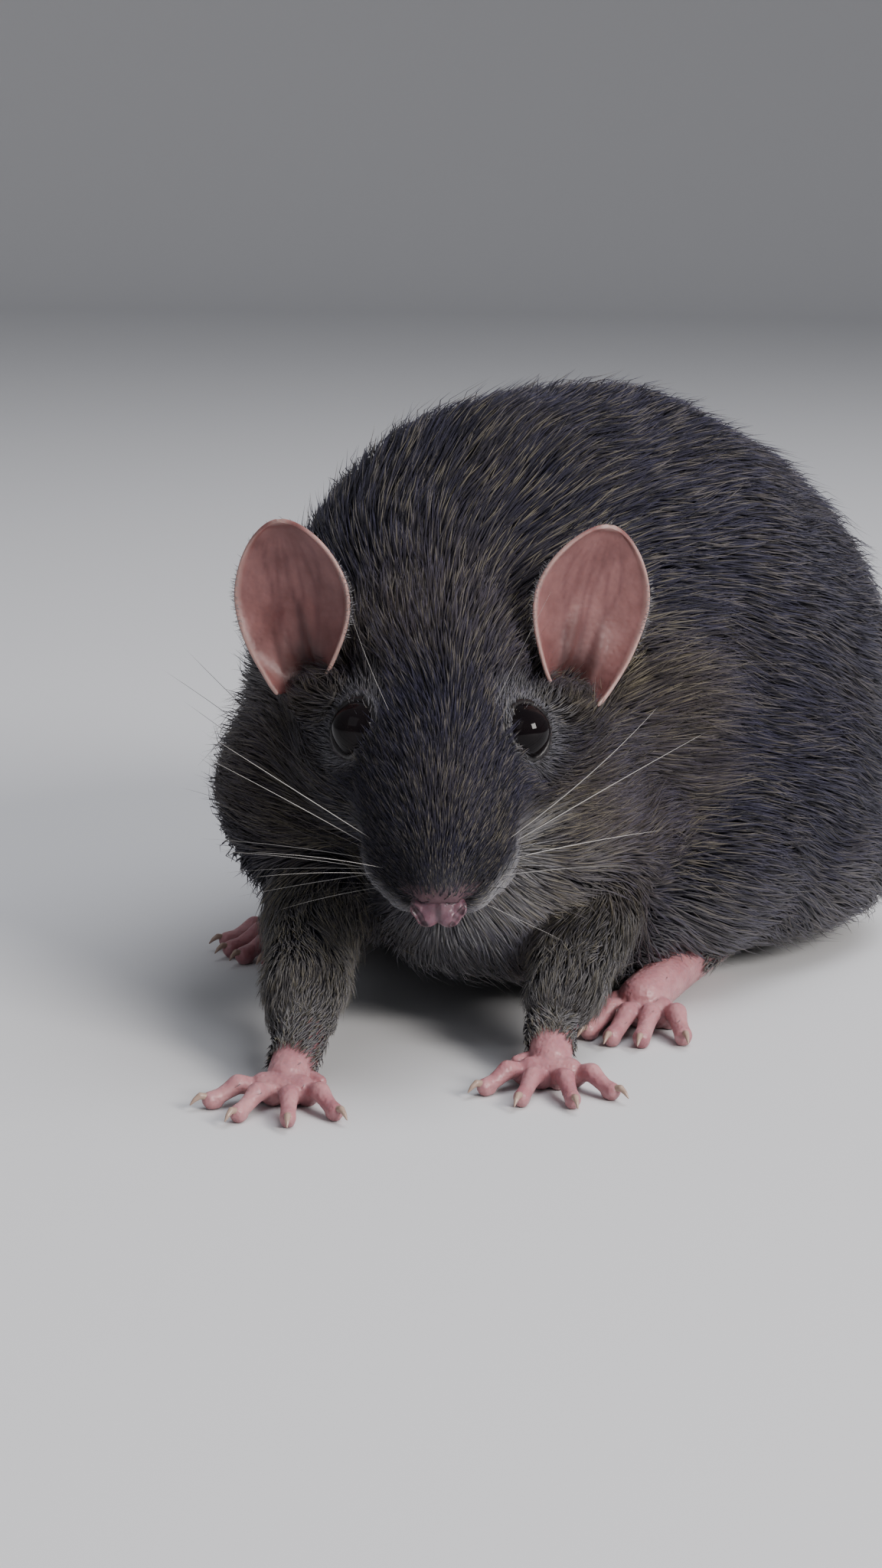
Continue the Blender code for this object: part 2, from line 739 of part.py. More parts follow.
def main():
    clear_scene()
    nodes = {}
    part_skin(nodes)
    fit_head(nodes)
    fit_feet(nodes)
    fit_tail(nodes)
    centre_origin(list(nodes.values()))
    dress(nodes)


main()
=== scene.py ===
"""The looks of a life-size pet rat: one skin, its coat of short fur, and ears, eyes, nose, paws and tail.

Lengths are in metres unless a name ends in _mm. The head has its own axes: back from the nose tip, out to the
rat's left, and up off the crown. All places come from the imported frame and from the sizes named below.
"""

import math

import bmesh
import bpy
import numpy as np
from mathutils import Matrix, Vector
from mathutils.bvhtree import BVHTree
from mathutils.kdtree import KDTree


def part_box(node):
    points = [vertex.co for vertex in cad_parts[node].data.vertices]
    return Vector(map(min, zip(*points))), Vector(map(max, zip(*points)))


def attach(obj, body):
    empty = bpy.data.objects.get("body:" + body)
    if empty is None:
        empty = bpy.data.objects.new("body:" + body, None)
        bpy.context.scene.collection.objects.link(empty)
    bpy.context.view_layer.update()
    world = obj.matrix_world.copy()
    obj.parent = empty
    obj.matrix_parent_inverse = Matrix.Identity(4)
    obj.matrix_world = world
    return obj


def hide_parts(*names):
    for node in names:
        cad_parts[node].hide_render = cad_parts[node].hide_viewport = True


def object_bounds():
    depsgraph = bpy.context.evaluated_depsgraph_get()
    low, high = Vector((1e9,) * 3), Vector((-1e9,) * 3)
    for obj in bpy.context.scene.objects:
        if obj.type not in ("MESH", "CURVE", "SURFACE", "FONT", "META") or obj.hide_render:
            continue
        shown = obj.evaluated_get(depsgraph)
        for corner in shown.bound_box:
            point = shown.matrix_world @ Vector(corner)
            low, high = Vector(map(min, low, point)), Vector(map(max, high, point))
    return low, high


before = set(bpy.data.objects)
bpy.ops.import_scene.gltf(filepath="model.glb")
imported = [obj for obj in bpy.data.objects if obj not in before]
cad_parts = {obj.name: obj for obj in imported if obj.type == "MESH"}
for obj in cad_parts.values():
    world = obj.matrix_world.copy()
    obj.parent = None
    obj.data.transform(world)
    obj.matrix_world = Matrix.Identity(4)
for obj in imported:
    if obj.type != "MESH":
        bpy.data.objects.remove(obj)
CAD_LOW, CAD_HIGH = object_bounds()

MM = 0.001
SEED = 20
SIDES = (("left", 1), ("right", -1))
FLESH = ("head", "neck", "torso", "thigh_left", "thigh_right", "foreleg_left", "foreleg_right")

# The head's axes, and its nose tip worked out from the left eye's place
HEAD_TURN = math.radians(33)
HEAD_PITCH = math.radians(40)
FORWARD = Vector((
    math.cos(HEAD_PITCH) * math.sin(HEAD_TURN),
    -math.cos(HEAD_PITCH) * math.cos(HEAD_TURN),
    -math.sin(HEAD_PITCH),
))
LEFTWARD = Vector((math.cos(HEAD_TURN), math.sin(HEAD_TURN), 0.0))
HEAD_AXES = Matrix((-FORWARD, LEFTWARD, FORWARD.cross(LEFTWARD))).transposed()
EYE_PLACE_MM = Vector((26.8, 10.0, 1.3))
EYE_RADIUS = 3.8 * MM
LID_PROUD = 0.30 * MM
NOSE_MIDDLE_MM = (0.5, 0.0, -1.4)
MOUTH_HINGE_MM = (11.0, 0.0, -5.5)
EARS = {  # the foot's middle in the head's axes, mm, then the height, and how far it tips outwards
    "left": ((36.4, 18.4, 1.0), 23.2 * MM, 0.14),
    "right": ((36.8, 19.2, 1.6), 22.4 * MM, 0.09),
}
eye_low, eye_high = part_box("eye_left")
NOSE_TIP = (eye_low + eye_high) / 2 - HEAD_AXES @ (EYE_PLACE_MM * MM)
# The plan of the body has its own origin: its nose tip there, and the shift from it to the frame
PLAN_NOSE_MM = Vector((23.5, -91.5, 24.0))
SHIFT = NOSE_TIP - PLAN_NOSE_MM * MM


def head_point(back, left, up):
    return NOSE_TIP + HEAD_AXES @ (Vector((back, left, up)) * MM)


def plan_point(x, y, z):
    return SHIFT + Vector((x, y, z)) * MM


# Object helpers

def select_only(*objects):
    bpy.ops.object.select_all(action="DESELECT")
    for obj in objects:
        obj.select_set(True)
    bpy.context.view_layer.objects.active = objects[0]


def link(name, data):
    obj = bpy.data.objects.new(name, data)
    bpy.context.scene.collection.objects.link(obj)
    return obj


def modify(obj, kind, **settings):
    """Adds a modifier and applies it."""
    select_only(obj)
    modifier = obj.modifiers.new(kind.title(), kind)
    for key, value in settings.items():
        setattr(modifier, key, value)
    bpy.ops.object.modifier_apply(modifier=modifier.name)


def join(name, objects):
    select_only(*objects)
    bpy.ops.object.join()
    objects[0].name = name
    objects[0].data.name = name
    return objects[0]


def fuse(obj, voxel, smooth):
    """One surface over overlapping closed shells, smoothed."""
    modify(obj, "REMESH", mode="VOXEL", voxel_size=voxel)
    modify(obj, "SMOOTH", factor=0.5, iterations=smooth)


def thin_out(obj, faces):
    count = sum(len(polygon.vertices) - 2 for polygon in obj.data.polygons)
    modify(obj, "DECIMATE", ratio=min(1.0, faces / count))


def primitive(name, operator, **settings):
    """A new object of one of Blender's own shapes."""
    bpy.ops.object.select_all(action="DESELECT")
    operator(**settings)
    obj = bpy.context.object
    obj.name = name
    return obj


def egg(name, centre, axes, turn, rings=12):
    """A sphere given its half axes, turn and place."""
    sphere = bpy.ops.mesh.primitive_uv_sphere_add
    obj = primitive(name, sphere, segments=2 * rings, ring_count=rings, radius=1.0)
    shape = turn.to_4x4() @ Matrix.Diagonal((*axes, 1.0))
    obj.data.transform(Matrix.Translation(centre) @ shape)
    if shape.determinant() < 0:
        obj.data.flip_normals()
    return obj


def object_of(name, form):
    """A new object from a bmesh, which is then freed."""
    mesh = bpy.data.meshes.new(name)
    form.to_mesh(mesh)
    form.free()
    return link(name, mesh)


def hull_limb(points, radii, rings=6):
    """A round limb through points: one closed shell round each pair of balls."""
    shells = []
    for first, second, one, two in zip(points, points[1:], radii, radii[1:]):
        form = bmesh.new()
        for centre, radius in ((first, one), (second, two)):
            bmesh.ops.create_uvsphere(
                form, u_segments=2 * rings, v_segments=rings, radius=radius,
                matrix=Matrix.Translation(centre),
            )
        made = bmesh.ops.convex_hull(form, input=form.verts, use_existing_faces=False)
        spare = {item for item in made["geom_interior"] if isinstance(item, bmesh.types.BMVert)}
        bmesh.ops.delete(form, geom=list(spare), context="VERTS")
        hull = {item for item in made["geom"] if isinstance(item, bmesh.types.BMFace)}
        bmesh.ops.delete(form, geom=[f for f in form.faces if f not in hull], context="FACES_ONLY")
        shells.append(object_of("limb", form))
    return shells


def rows_of(items, key, width, kind=np.float32):
    """One property of all items, a row for each."""
    values = np.empty(len(items) * width, kind)
    items.foreach_get(key, values)
    return values.reshape(-1, width)


def vertices_of(obj):
    return rows_of(obj.data.vertices, "co", 3).astype(float)


def normals_of(obj):
    return rows_of(obj.data.vertex_normals, "vector", 3).astype(float)


def set_vertices(obj, points):
    obj.data.vertices.foreach_set("co", points.astype(np.float32).ravel())
    obj.data.update()


def edit_all(obj, operator, **settings):
    """Runs an operator of edit mode on the whole mesh."""
    select_only(obj)
    bpy.ops.object.mode_set(mode="EDIT")
    bpy.ops.mesh.select_all(action="SELECT")
    operator(**settings)
    bpy.ops.object.mode_set(mode="OBJECT")


def unwrap(obj):
    """Lays the surface out flat, by its own shape."""
    edit_all(obj, bpy.ops.uv.smart_project, angle_limit=math.radians(66), island_margin=0.002)


def give(obj, slot, material, *nodes):
    """Finishes a piece: smooth shading, material, body, and the CAD nodes that it stands for. The slot is not
    used.
    """
    obj.data.shade_smooth()
    obj.data.materials.clear()
    obj.data.materials.append(material)
    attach(obj, "root")
    if nodes:
        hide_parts(*nodes)


# Where things are: plain functions of points, used for the skin and the coat alike

def fade(values, low, high):
    """0 below low, 1 above high, smooth between; low may be the larger."""
    share = np.clip((values - low) / (high - low), 0.0, 1.0)
    return share * share * (3 - 2 * share)


def norms(rows):
    return np.linalg.norm(rows, axis=-1)


def along_surface(flow, normals):
    """The flow laid into the surface, each row at length 1."""
    flow = flow - normals * np.sum(flow * normals, axis=1)[:, None]
    return flow / (norms(flow)[:, None] + 1e-9)


def in_head_mm(points):
    return (points - np.array(NOSE_TIP)) @ np.array(HEAD_AXES) / MM


def in_plan_mm(points):
    return (points - np.array(SHIFT)) / MM


def headness(points):
    """1 on the head, fading to 0 over the neck."""
    back, left, up = in_head_mm(points).T
    return fade(back, 58, 38) * fade(up, -26, -19) * fade(np.abs(left), 34, 28)


LEG_LINES_MM = (  # elbow to wrist, in the plan
    ((24, -56, 17), (28.5, -72.5, 5.0)),
    ((-8, -73, 15), (6.5, -96.5, 5.0)),
)


def leg_shares(points):
    """For each foreleg, how much a point belongs to it, and the way down it."""
    plan = in_plan_mm(points)
    found = []
    for elbow, wrist in LEG_LINES_MM:
        start, end = np.array(elbow, float), np.array(wrist, float)
        way = end - start
        along = np.clip((plan - start) @ way / (way @ way), -0.3, 1.3)
        gap = norms(plan - start - along[:, None] * way)
        share = fade(gap, 12, 7.5) * fade(along, -0.3, 0.15)
        found.append((share, way / np.linalg.norm(way), along))
    return found


def nearest_eye_mm(points):
    gaps = [norms(points - np.array(eye_centre(sign))) for _side, sign in SIDES]
    return np.minimum(*gaps) / MM


def nearest_ear_mm(points):
    feet = [np.array(EARS[side][0]) * (1, sign, 1) for side, sign in SIDES]
    gaps = [norms(in_head_mm(points) - foot) for foot in feet]
    return np.minimum(*gaps)


def nose_gap_mm(points):
    return norms((in_head_mm(points) - np.array(NOSE_MIDDLE_MM)) * (0.9, 0.8, 1.35))


def mouth_side_mm(points):
    """Height over the line of the mouth, a shallow cone from a point behind the lips, and the way past it."""
    offset = in_head_mm(points) - np.array(MOUTH_HINGE_MM)
    across = np.hypot(offset[:, 0], offset[:, 1])
    turn = np.degrees(np.arctan2(np.abs(offset[:, 1]), -offset[:, 0]))
    target = -0.714 + 0.002 * turn
    away = 2.0 * fade(turn, 85, 110) + 5.0 * (offset[:, 0] > 4) + 5.0 * (across > 16)
    return (offset[:, 2] - target * across) / np.hypot(1, target), away


def mouth_gap_mm(points):
    height, away = mouth_side_mm(points)
    return np.abs(height) + away


def fur_length_mm(points):
    """How long the fur is: velvet on the muzzle and wrists, longest on the flanks."""
    back, left, up = in_head_mm(points).T
    plan = in_plan_mm(points)
    face = 1.6 + 0.19 * np.clip(back, 0, 60)
    face += 2.2 * fade(np.abs(left), 9, 17) * fade(back, 10, 30)
    face += 2.6 * fade(up, -2.5, -7) * fade(back, -1, 6)
    trunk = 11.5 + 2.5 * fade(plan[:, 1], -30, 20) - 2.0 * fade(plan[:, 2], 14, 6)
    head = headness(points)
    length = head * face + (1 - head) * trunk
    for share, _way, along in leg_shares(points):
        length = length * (1 - share) + share * (6.4 - 2.4 * fade(along, 0.1, 1.0))
    ear_gap = nearest_ear_mm(points)
    length *= 1 - 0.30 * fade(ear_gap, 11, 6) - 0.44 * fade(ear_gap, 8, 4.5)
    length *= 0.55 + 0.45 * fade(np.where(back < 16, mouth_gap_mm(points), 9), 0.8, 3.0)
    length *= 0.30 + 0.70 * fade(nearest_eye_mm(points), 4.4, 8.0)
    return length


def coat_depth_mm(points):
    """How far the skin lies below the tips."""
    depth = 0.27 * fur_length_mm(points) * fade(in_head_mm(points)[:, 0], 1.0, 7.0) + 0.12
    depth *= 1.0 + 0.5 * fade(nearest_ear_mm(points), 11.0, 6.0)
    return depth + 0.5 * fade(nose_gap_mm(points), 4.2, 2.6)


def flow_of(points, normals):
    """The lie of the coat: from the nose back, round the eyes, down the flanks and down the forelegs."""
    head_mm = in_head_mm(points)
    plan = in_plan_mm(points)
    axes = np.array(HEAD_AXES)
    back, left, up = head_mm.T
    lip_height, _away = mouth_side_mm(points)
    chin = fade(up, -2.0, -7.0) * fade(back, 24, 8)
    chin *= 0.15 + 0.85 * fade(lip_height, 0.4, -0.6)
    over_head = np.stack([1 - 0.55 * chin, 0.05 * left, -0.03 * np.abs(left) - 1.1 * chin], 1) @ axes.T
    side = np.clip(plan[:, 0] / 34, -1.2, 1.2)
    over_body = np.stack([0.12 * side, np.ones(len(points)), -0.42 * np.abs(side) ** 1.5], 1)
    over_body[:, 2] -= 0.5 * fade(plan[:, 1], 15, 40)
    head = headness(points)[:, None]
    flow = head * over_head / norms(over_head)[:, None]
    flow += (1 - head) * over_body / norms(over_body)[:, None]
    for share, way, _along in leg_shares(points):
        flow = flow * (1 - share[:, None]) + way * share[:, None]
    near_ear = fade(nearest_ear_mm(points), 11.0, 6.0)[:, None]
    flow += 0.45 * near_ear * (np.array((0, 0, 1)) + 0.35 * np.sign(left)[:, None] * np.array(LEFTWARD))
    for _side, sign in SIDES:
        away = points - np.array(eye_centre(sign))
        gap = norms(away)
        flow += 0.9 * (away / gap[:, None]) * fade(gap / MM, 8.5, 4.5)[:, None]
    return along_surface(flow, normals)


def wave(points, scale_mm, phase):
    """Smooth noise in -1..1, one wavelength about scale_mm."""
    spots = points / MM / scale_mm * 2 * math.pi
    total = np.zeros(len(points))
    for k in range(5):
        turn = phase + 1.7 * k
        way = np.array([math.sin(turn * 1.3), math.cos(turn * 2.1), math.sin(turn * 3.7 + 1)])
        total += np.sin(spots @ way * (0.7 + 0.2 * k) + turn * 5)
    return total / 3.2


def markings(points):
    """Two shares for each point: how tan, and how pale grey, its fur is."""
    back, left, up = in_head_mm(points).T
    height = in_plan_mm(points)[:, 2]
    head, legs = headness(points), leg_share(points)
    tan = 0.46 * fade(height, 23, 6) * (1 - head)
    tan += head * 0.70 * fade(np.abs(left), 6, 13) * fade(up, 1, -7)
    tan += head * 0.42 * fade(back, 22, 36) * fade(up, -2, 4)
    tan = np.max([tan, 0.60 * legs, 0.7 * fade(nearest_ear_mm(points), 11, 6)], axis=0)
    pale = head * fade(up, -1.6, -4.0) * fade(back, 20, 6) * (1 - legs)
    pale *= 0.45 + 0.55 * fade(up, -20, -13)
    throat = fade(np.abs(left - 2.5), 10, 4) * fade(back, 28, 17) * fade(up, -4, -9)
    throat *= 0.62 * fade(up, -40, -30) * (1 - legs)
    belly = 0.26 * (1 - head) * (1 - legs) * fade(height, 24, 6)
    wrists = 0.46 * legs * fade(height, 30, 8)
    pale = np.max([pale, throat, belly, wrists, 0.40 * fade(nearest_eye_mm(points), 6.8, 4.8)], axis=0)
    tan = np.clip(tan + 0.18 * wave(points, 24, 1.0), 0, 1)
    pale = np.clip(pale + 0.10 * wave(points, 13, 2.0) * (pale > 0.05), 0, 1)
    return tan, pale


def store(obj, name, values):
    """Keeps four numbers a vertex for the materials to read."""
    layer = obj.data.attributes.new(name, "FLOAT_COLOR", "POINT")
    layer.data.foreach_set("color", np.asarray(values, np.float32).ravel())


# Materials

CHARCOAL = (0.0036, 0.0032, 0.0040)
UNDERCOAT = (0.0080, 0.0073, 0.0088)
SLATE = (0.0142, 0.0134, 0.0186)
TICK = (0.210, 0.182, 0.112)
TAN = (0.092, 0.074, 0.048)
ASH = (0.40, 0.39, 0.39)


class Paint:
    """A material and its shader. An input takes a number, a colour or another node's socket."""

    def __init__(self, name, inputs):
        self.material = bpy.data.materials.new(name)
        self.material.use_nodes = True
        self.tree = self.material.node_tree
        self.shader = self.tree.nodes["Principled BSDF"]
        self.feed(self.shader, inputs)

    def feed(self, node, inputs):
        for key, value in inputs.items():
            socket = node.inputs[key]
            if isinstance(value, bpy.types.NodeSocket):
                self.tree.links.new(value, socket)
            else:
                socket.default_value = (*value, 1.0) if socket.type == "RGBA" else value

    def add(self, kind, inputs, **settings):
        node = self.tree.nodes.new("ShaderNode" + kind)
        for key, value in settings.items():
            setattr(node, key, value)
        self.feed(node, inputs)
        return node

    def mix(self, factor, first, second):
        return self.add("Mix", {0: factor, 6: first, 7: second}, data_type="RGBA").outputs[2]

    def maths(self, operation, first, second):
        return self.add("Math", {0: first, 1: second}, operation=operation, use_clamp=True).outputs[0]

    def ramp(self, factor, stops):
        """A ramp through (place, colour) stops."""
        node = self.add("ValToRGB", {0: factor})
        elements = node.color_ramp.elements
        while len(elements) < len(stops):
            elements.new(0.5)
        for element, (place, colour) in zip(elements, stops):
            element.position = place
            element.color = (*colour, 1.0)
        return node.outputs[0]

    def pattern(self, kind, inputs, **settings):
        """A texture on the object's own coordinates; its scale is in waves a metre."""
        place = self.add("TexCoord", {}).outputs["Object"]
        return self.add("Tex" + kind, {"Vector": place, **inputs}, **settings).outputs

    def noise(self, scale, detail=3.0):
        return self.pattern("Noise", {"Scale": scale, "Detail": detail, "Roughness": 0.55})["Fac"]

    def marks(self, name):
        """The four numbers that store() kept."""
        node = self.add("Attribute", {}, attribute_name=name)
        first, second, third = self.add("SeparateColor", {0: node.outputs["Color"]}).outputs
        return first, second, third, node.outputs["Alpha"]

    def bump(self, height, distance):
        node = self.add("Bump", {"Height": height, "Distance": distance, "Strength": 1.0})
        self.feed(self.shader, {"Normal": node.outputs["Normal"]})

    def coloured(self, colour):
        self.feed(self.shader, {"Base Color": colour})
        return self.material


def coat_material():
    """Fur by its strand: dark at the root, and some tips ticked grey-tan."""
    gloss = {"Roughness": 0.46, "Specular IOR Level": 0.28}
    paint = Paint("fur", {**gloss, "Sheen Weight": 0.08, "Sheen Tint": (0.55, 0.52, 0.90)})
    along, chance, tan, pale = paint.marks("strand")
    base = paint.ramp(along, ((0.0, CHARCOAL), (0.45, UNDERCOAT), (1.0, SLATE)))
    warm = paint.ramp(along, ((0.0, CHARCOAL), (0.5, (0.034, 0.026, 0.018)), (1.0, TAN)))
    ash = paint.ramp(along, ((0.0, (0.05, 0.05, 0.055)), (0.35, (0.17, 0.17, 0.18)), (1.0, ASH)))
    colour = paint.mix(pale, paint.mix(tan, base, warm), ash)
    tip = paint.maths("MULTIPLY", paint.maths("SUBTRACT", along, 0.55), 2.2)
    ticked = paint.maths("MULTIPLY", tip, paint.maths("GREATER_THAN", chance, 0.68))
    return paint.coloured(paint.mix(ticked, colour, TICK))


def skin_material():
    """The skin under the fur, with the coat's own markings and a fine nap."""
    paint = Paint("skin_under_fur", {"Roughness": 0.7})
    _along, bare, tan, pale = paint.marks("strand")
    grain = paint.noise(900.0)
    paint.bump(grain, 0.0003)
    colour = paint.mix(tan, paint.mix(grain, CHARCOAL, UNDERCOAT), (0.020, 0.015, 0.011))
    colour = paint.mix(pale, colour, (0.10, 0.095, 0.10))
    return paint.coloured(paint.mix(bare, colour, (0.120, 0.054, 0.070)))


def eye_material():
    paint = Paint("wet_eye", {"Roughness": 0.03, "IOR": 1.25})
    return paint.coloured(paint.mix(paint.noise(500.0), (0.0022, 0.0018, 0.0025), (0.007, 0.0045, 0.005)))


BARE_SKINS = {  # deep and light colour, grain's waves a metre and depth, roughness, thickness, veins
    "lid_skin": ((0.010, 0.007, 0.008), (0.022, 0.015, 0.016), 2500.0, 0.00006, 0.45, 0.4 * MM, 0.0),
    "nose_skin": ((0.128, 0.058, 0.082), (0.205, 0.110, 0.138), 3400.0, 0.00004, 0.36, 0.8 * MM, 0.0),
    "ear_skin": ((0.122, 0.042, 0.040), (0.220, 0.096, 0.092), 1500.0, 0.00006, 0.5, 1.0 * MM, 0.7),
    "paw_skin": ((0.32, 0.130, 0.150), (0.46, 0.235, 0.245), 1900.0, 0.00012, 0.42, 1.0 * MM, 0.0),
    "tail_skin": ((0.20, 0.115, 0.105), (0.33, 0.21, 0.19), 1800.0, 0.00008, 0.55, 0.8 * MM, 0.0),
}


def bare_skin_material(name, deep, light, grain_scale, grain_depth, roughness, thickness, veins):
    """Thin pink skin: mottled, creased, and lit through."""
    lit_through = {"Subsurface Weight": 0.35, "Subsurface Radius": (1.0, 0.35, 0.25)}
    paint = Paint(name, {**lit_through, "Subsurface Scale": thickness, "Roughness": roughness})
    paint.bump(paint.pattern("Voronoi", {"Scale": grain_scale}, feature="SMOOTH_F1")["Distance"], grain_depth)
    colour = paint.ramp(paint.noise(260.0, 4.0), ((0.30, deep), (0.70, light)))
    dark, pale, veined, _edge = paint.marks("shade")
    vein = paint.maths("MULTIPLY", veined, veins)
    colour = paint.mix(vein, colour, (0.60 * deep[0], 0.34 * deep[1], 0.45 * deep[2]))
    # The shade attribute's first number darkens the skin: painted shade in the nostrils, in the ear's hollow
    # and folds, under the paws and in the tail's ring grooves. On the lids it is their own dark colour.
    colour = paint.mix(dark, colour, tuple(0.42 * part for part in deep))
    return paint.coloured(paint.mix(pale, colour, (0.50, 0.36, 0.32)))


def horn_material():
    paint = Paint("claw_horn", {"Roughness": 0.3})
    return paint.coloured(paint.mix(paint.noise(1500.0), (0.26, 0.17, 0.13), (0.42, 0.31, 0.25)))


def whisker_material():
    paint = Paint("whisker", {"Roughness": 0.35})
    _along, chance, _tan, _pale = paint.marks("strand")
    dark = paint.maths("GREATER_THAN", chance, 0.28)
    return paint.coloured(paint.mix(dark, (0.42, 0.40, 0.38), (0.016, 0.013, 0.013)))


# The skin

SKIN_TRIANGLES = 120000
SKIN_VOXEL = 0.55 * MM


def make_skin():
    """The CAD nodes of flesh as one surface with no seam, then drawn in by the coat's depth."""
    copies = []
    for name in FLESH:
        copy = link("skin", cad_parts[name].data.copy())
        copy.data.materials.clear()
        modify(copy, "WELD", merge_threshold=0.001 * MM)
        modify(copy, "DISPLACE", mid_level=0.0, strength=0.25 * MM)
        copies.append(copy)
    skin = join("skin", copies)
    fuse(skin, SKIN_VOXEL, 6)
    points = vertices_of(skin)
    depth = coat_depth_mm(points) * MM
    set_vertices(skin, points - normals_of(skin) * depth[:, None])
    modify(skin, "SMOOTH", factor=0.5, iterations=3)
    carve_face(skin)
    thin_out(skin, SKIN_TRIANGLES)
    points = vertices_of(skin)
    tan, pale = markings(points)
    store(skin, "strand", np.stack([np.zeros(len(points)), bareness(points), tan, pale], 1))
    unwrap(skin)
    return skin


def carve_face(skin):
    """Sinks the sockets behind the lids, the head before the ears, the line of the mouth and the cleft."""
    points = vertices_of(skin)
    for _side, sign in SIDES:
        centre, axes = np.array(eye_centre(sign)), np.array(eye_axes(sign))
        offset = points - centre
        gap = norms(offset)
        local = offset @ axes / gap[:, None]
        angle = np.degrees(np.arccos(np.clip(local[:, 2], -1, 1)))
        beyond = angle - lid_opening(np.arctan2(local[:, 1], local[:, 0]), sign)
        rim = EYE_RADIUS + LID_PROUD
        target = EYE_RADIUS - 0.7 * MM + (LID_PROUD + 0.7 * MM) * fade(beyond, -4, 1)
        blend = fade(beyond, 30, 1) * fade(gap / MM, 11, 8.5)
        gap_now = gap * (1 - blend) + np.where(beyond > 1, rim, target) * blend
        points = centre + offset * (gap_now / gap)[:, None]
    for side, sign in SIDES:
        back, out, up = EARS[side][0]
        axes = np.array(ear_axes(side, sign))
        across, rise, ahead = ((points - np.array(head_point(back, out * sign, up))) @ axes / MM).T
        dip = fade(ahead, -6.5, -4.0) * fade(ahead, 15.0, 7.0) * fade(np.abs(across), 9.5, 6.5)
        lower = 0.92 * np.maximum(rise + 2.4, 0) * dip * fade(rise, 14.0, 9.0)
        points = points - axes[:, 1] * (lower * MM)[:, None]
    normals = normals_of(skin)
    groove = fade(mouth_gap_mm(points), 1.1, 0.1) * headness(points)
    head_mm = in_head_mm(points)
    cleft = 0.6 * fade(np.abs(head_mm[:, 1]), 0.9, 0.1) * fade(head_mm[:, 0], 6, 4)
    cleft *= fade(head_mm[:, 2], -1.0, -2.0)
    set_vertices(skin, points - normals * (np.maximum(groove, cleft) * MM)[:, None])


def bareness(points):
    """Where the skin shows: beside the nose, in the line of the mouth and at the lids."""
    over = fade(in_head_mm(points)[:, 2], -2.0, -0.5)
    nose_gap = nose_gap_mm(points)
    nose = fade(nose_gap, 3.3, 2.6) + 0.6 * over * fade(nose_gap, 6.4, 3.8)
    lips = 0.9 * fade(mouth_gap_mm(points), 1.1, 0.6) * headness(points)
    lids = 0.25 * fade(nearest_eye_mm(points), 4.9, 4.3)
    return np.clip(nose + lips + lids, 0, 1)


# The coat

BODY_STRANDS = 74000
FACE_STRANDS = 54000
LEG_STRANDS = 12000
PAW_STRANDS = 1800
EAR_STRANDS = 1400
TAIL_STRANDS = 2600
BAKE_PATCH = 0.003


def surface_samples(obj, count, weight, rng):
    """Roots spread evenly over the surface, more where weight says: places, normals and their UVs."""
    mesh = obj.data
    mesh.calc_loop_triangles()
    corners = rows_of(mesh.loop_triangles, "vertices", 3, np.int32)
    loops = rows_of(mesh.loop_triangles, "loops", 3, np.int32)
    points, normals = vertices_of(obj), normals_of(obj)
    uvs = rows_of(mesh.uv_layers.active.data, "uv", 2)
    count = int(count * (1))
    a, b, c = (points[corners[:, k]] for k in range(3))
    total = np.cumsum(norms(np.cross(b - a, c - a)) * weight((a + b + c) / 3))
    picks = (np.arange(count) + rng.random(count)) / count * total[-1]
    chosen = np.minimum(np.searchsorted(total, picks), len(total) - 1)
    one, two = rng.random(count), rng.random(count)
    flip = one + two > 1
    one[flip], two[flip] = 1 - one[flip], 1 - two[flip]
    bary = np.stack([1 - one - two, one, two], 1)[:, :, None]
    roots = np.sum(points[corners[chosen]] * bary, 1)
    facing = np.sum(normals[corners[chosen]] * bary, 1)
    return roots, facing / norms(facing)[:, None], np.sum(uvs[loops[chosen]] * bary, 1)


def planted(obj, count, weight, kept, rng):
    """Roots on a piece other than the skin: those of the samples that kept(places, normals) picks."""
    unwrap(obj)
    found = surface_samples(obj, count, weight, rng)
    keep = kept(found[0], found[1])
    return [part[keep] for part in found]


def straight_strands(roots, normals, flow, length, heights):
    """Three points to each strand, at the heights given over the surface."""
    reach = length[:, None] * np.linspace(0, 1, 3)
    return roots[:, None] + flow[:, None] * reach[:, :, None] + normals[:, None] * heights[:, :, None]


def body_share(points):
    """Strands of the body: none on the head, and fewer under the belly."""
    height = in_plan_mm(points)[:, 2]
    return (1 - headness(points)) * (1 - leg_share(points)) * (0.45 + 0.55 * fade(height, 5, 14))


def face_share(points):
    """Strands of the head, closest on the muzzle, none where it is bare."""
    back = in_head_mm(points)[:, 0]
    share = headness(points) * (1 - bareness(points)) * (1 - leg_share(points))
    return share * (1.0 + 1.2 * fade(back, 34, 12))


def leg_share(points):
    return np.maximum(*[share for share, _way, _along in leg_shares(points)])


def walk(tree, roots, normals, flow, length, height, rings):
    """Each strand's line: it follows the surface, rising to its height towards the tip."""
    lines = [roots - normals * 0.0002]
    place, way, up = roots.copy(), flow, normals.copy()
    for ring in range(1, rings + 1):
        share = ring / rings
        ahead = place + way * (length / rings)[:, None]
        for k in range(len(roots)):
            spot, facing, _index, _gap = tree.find_nearest(ahead[k])
            place[k] = spot
            up[k] = facing
        way = along_surface(way, up)
        rise = height * (1.75 * share - 0.75 * share * share)
        lines.append(place + up * rise[:, None])
    return np.stack(lines, 1)


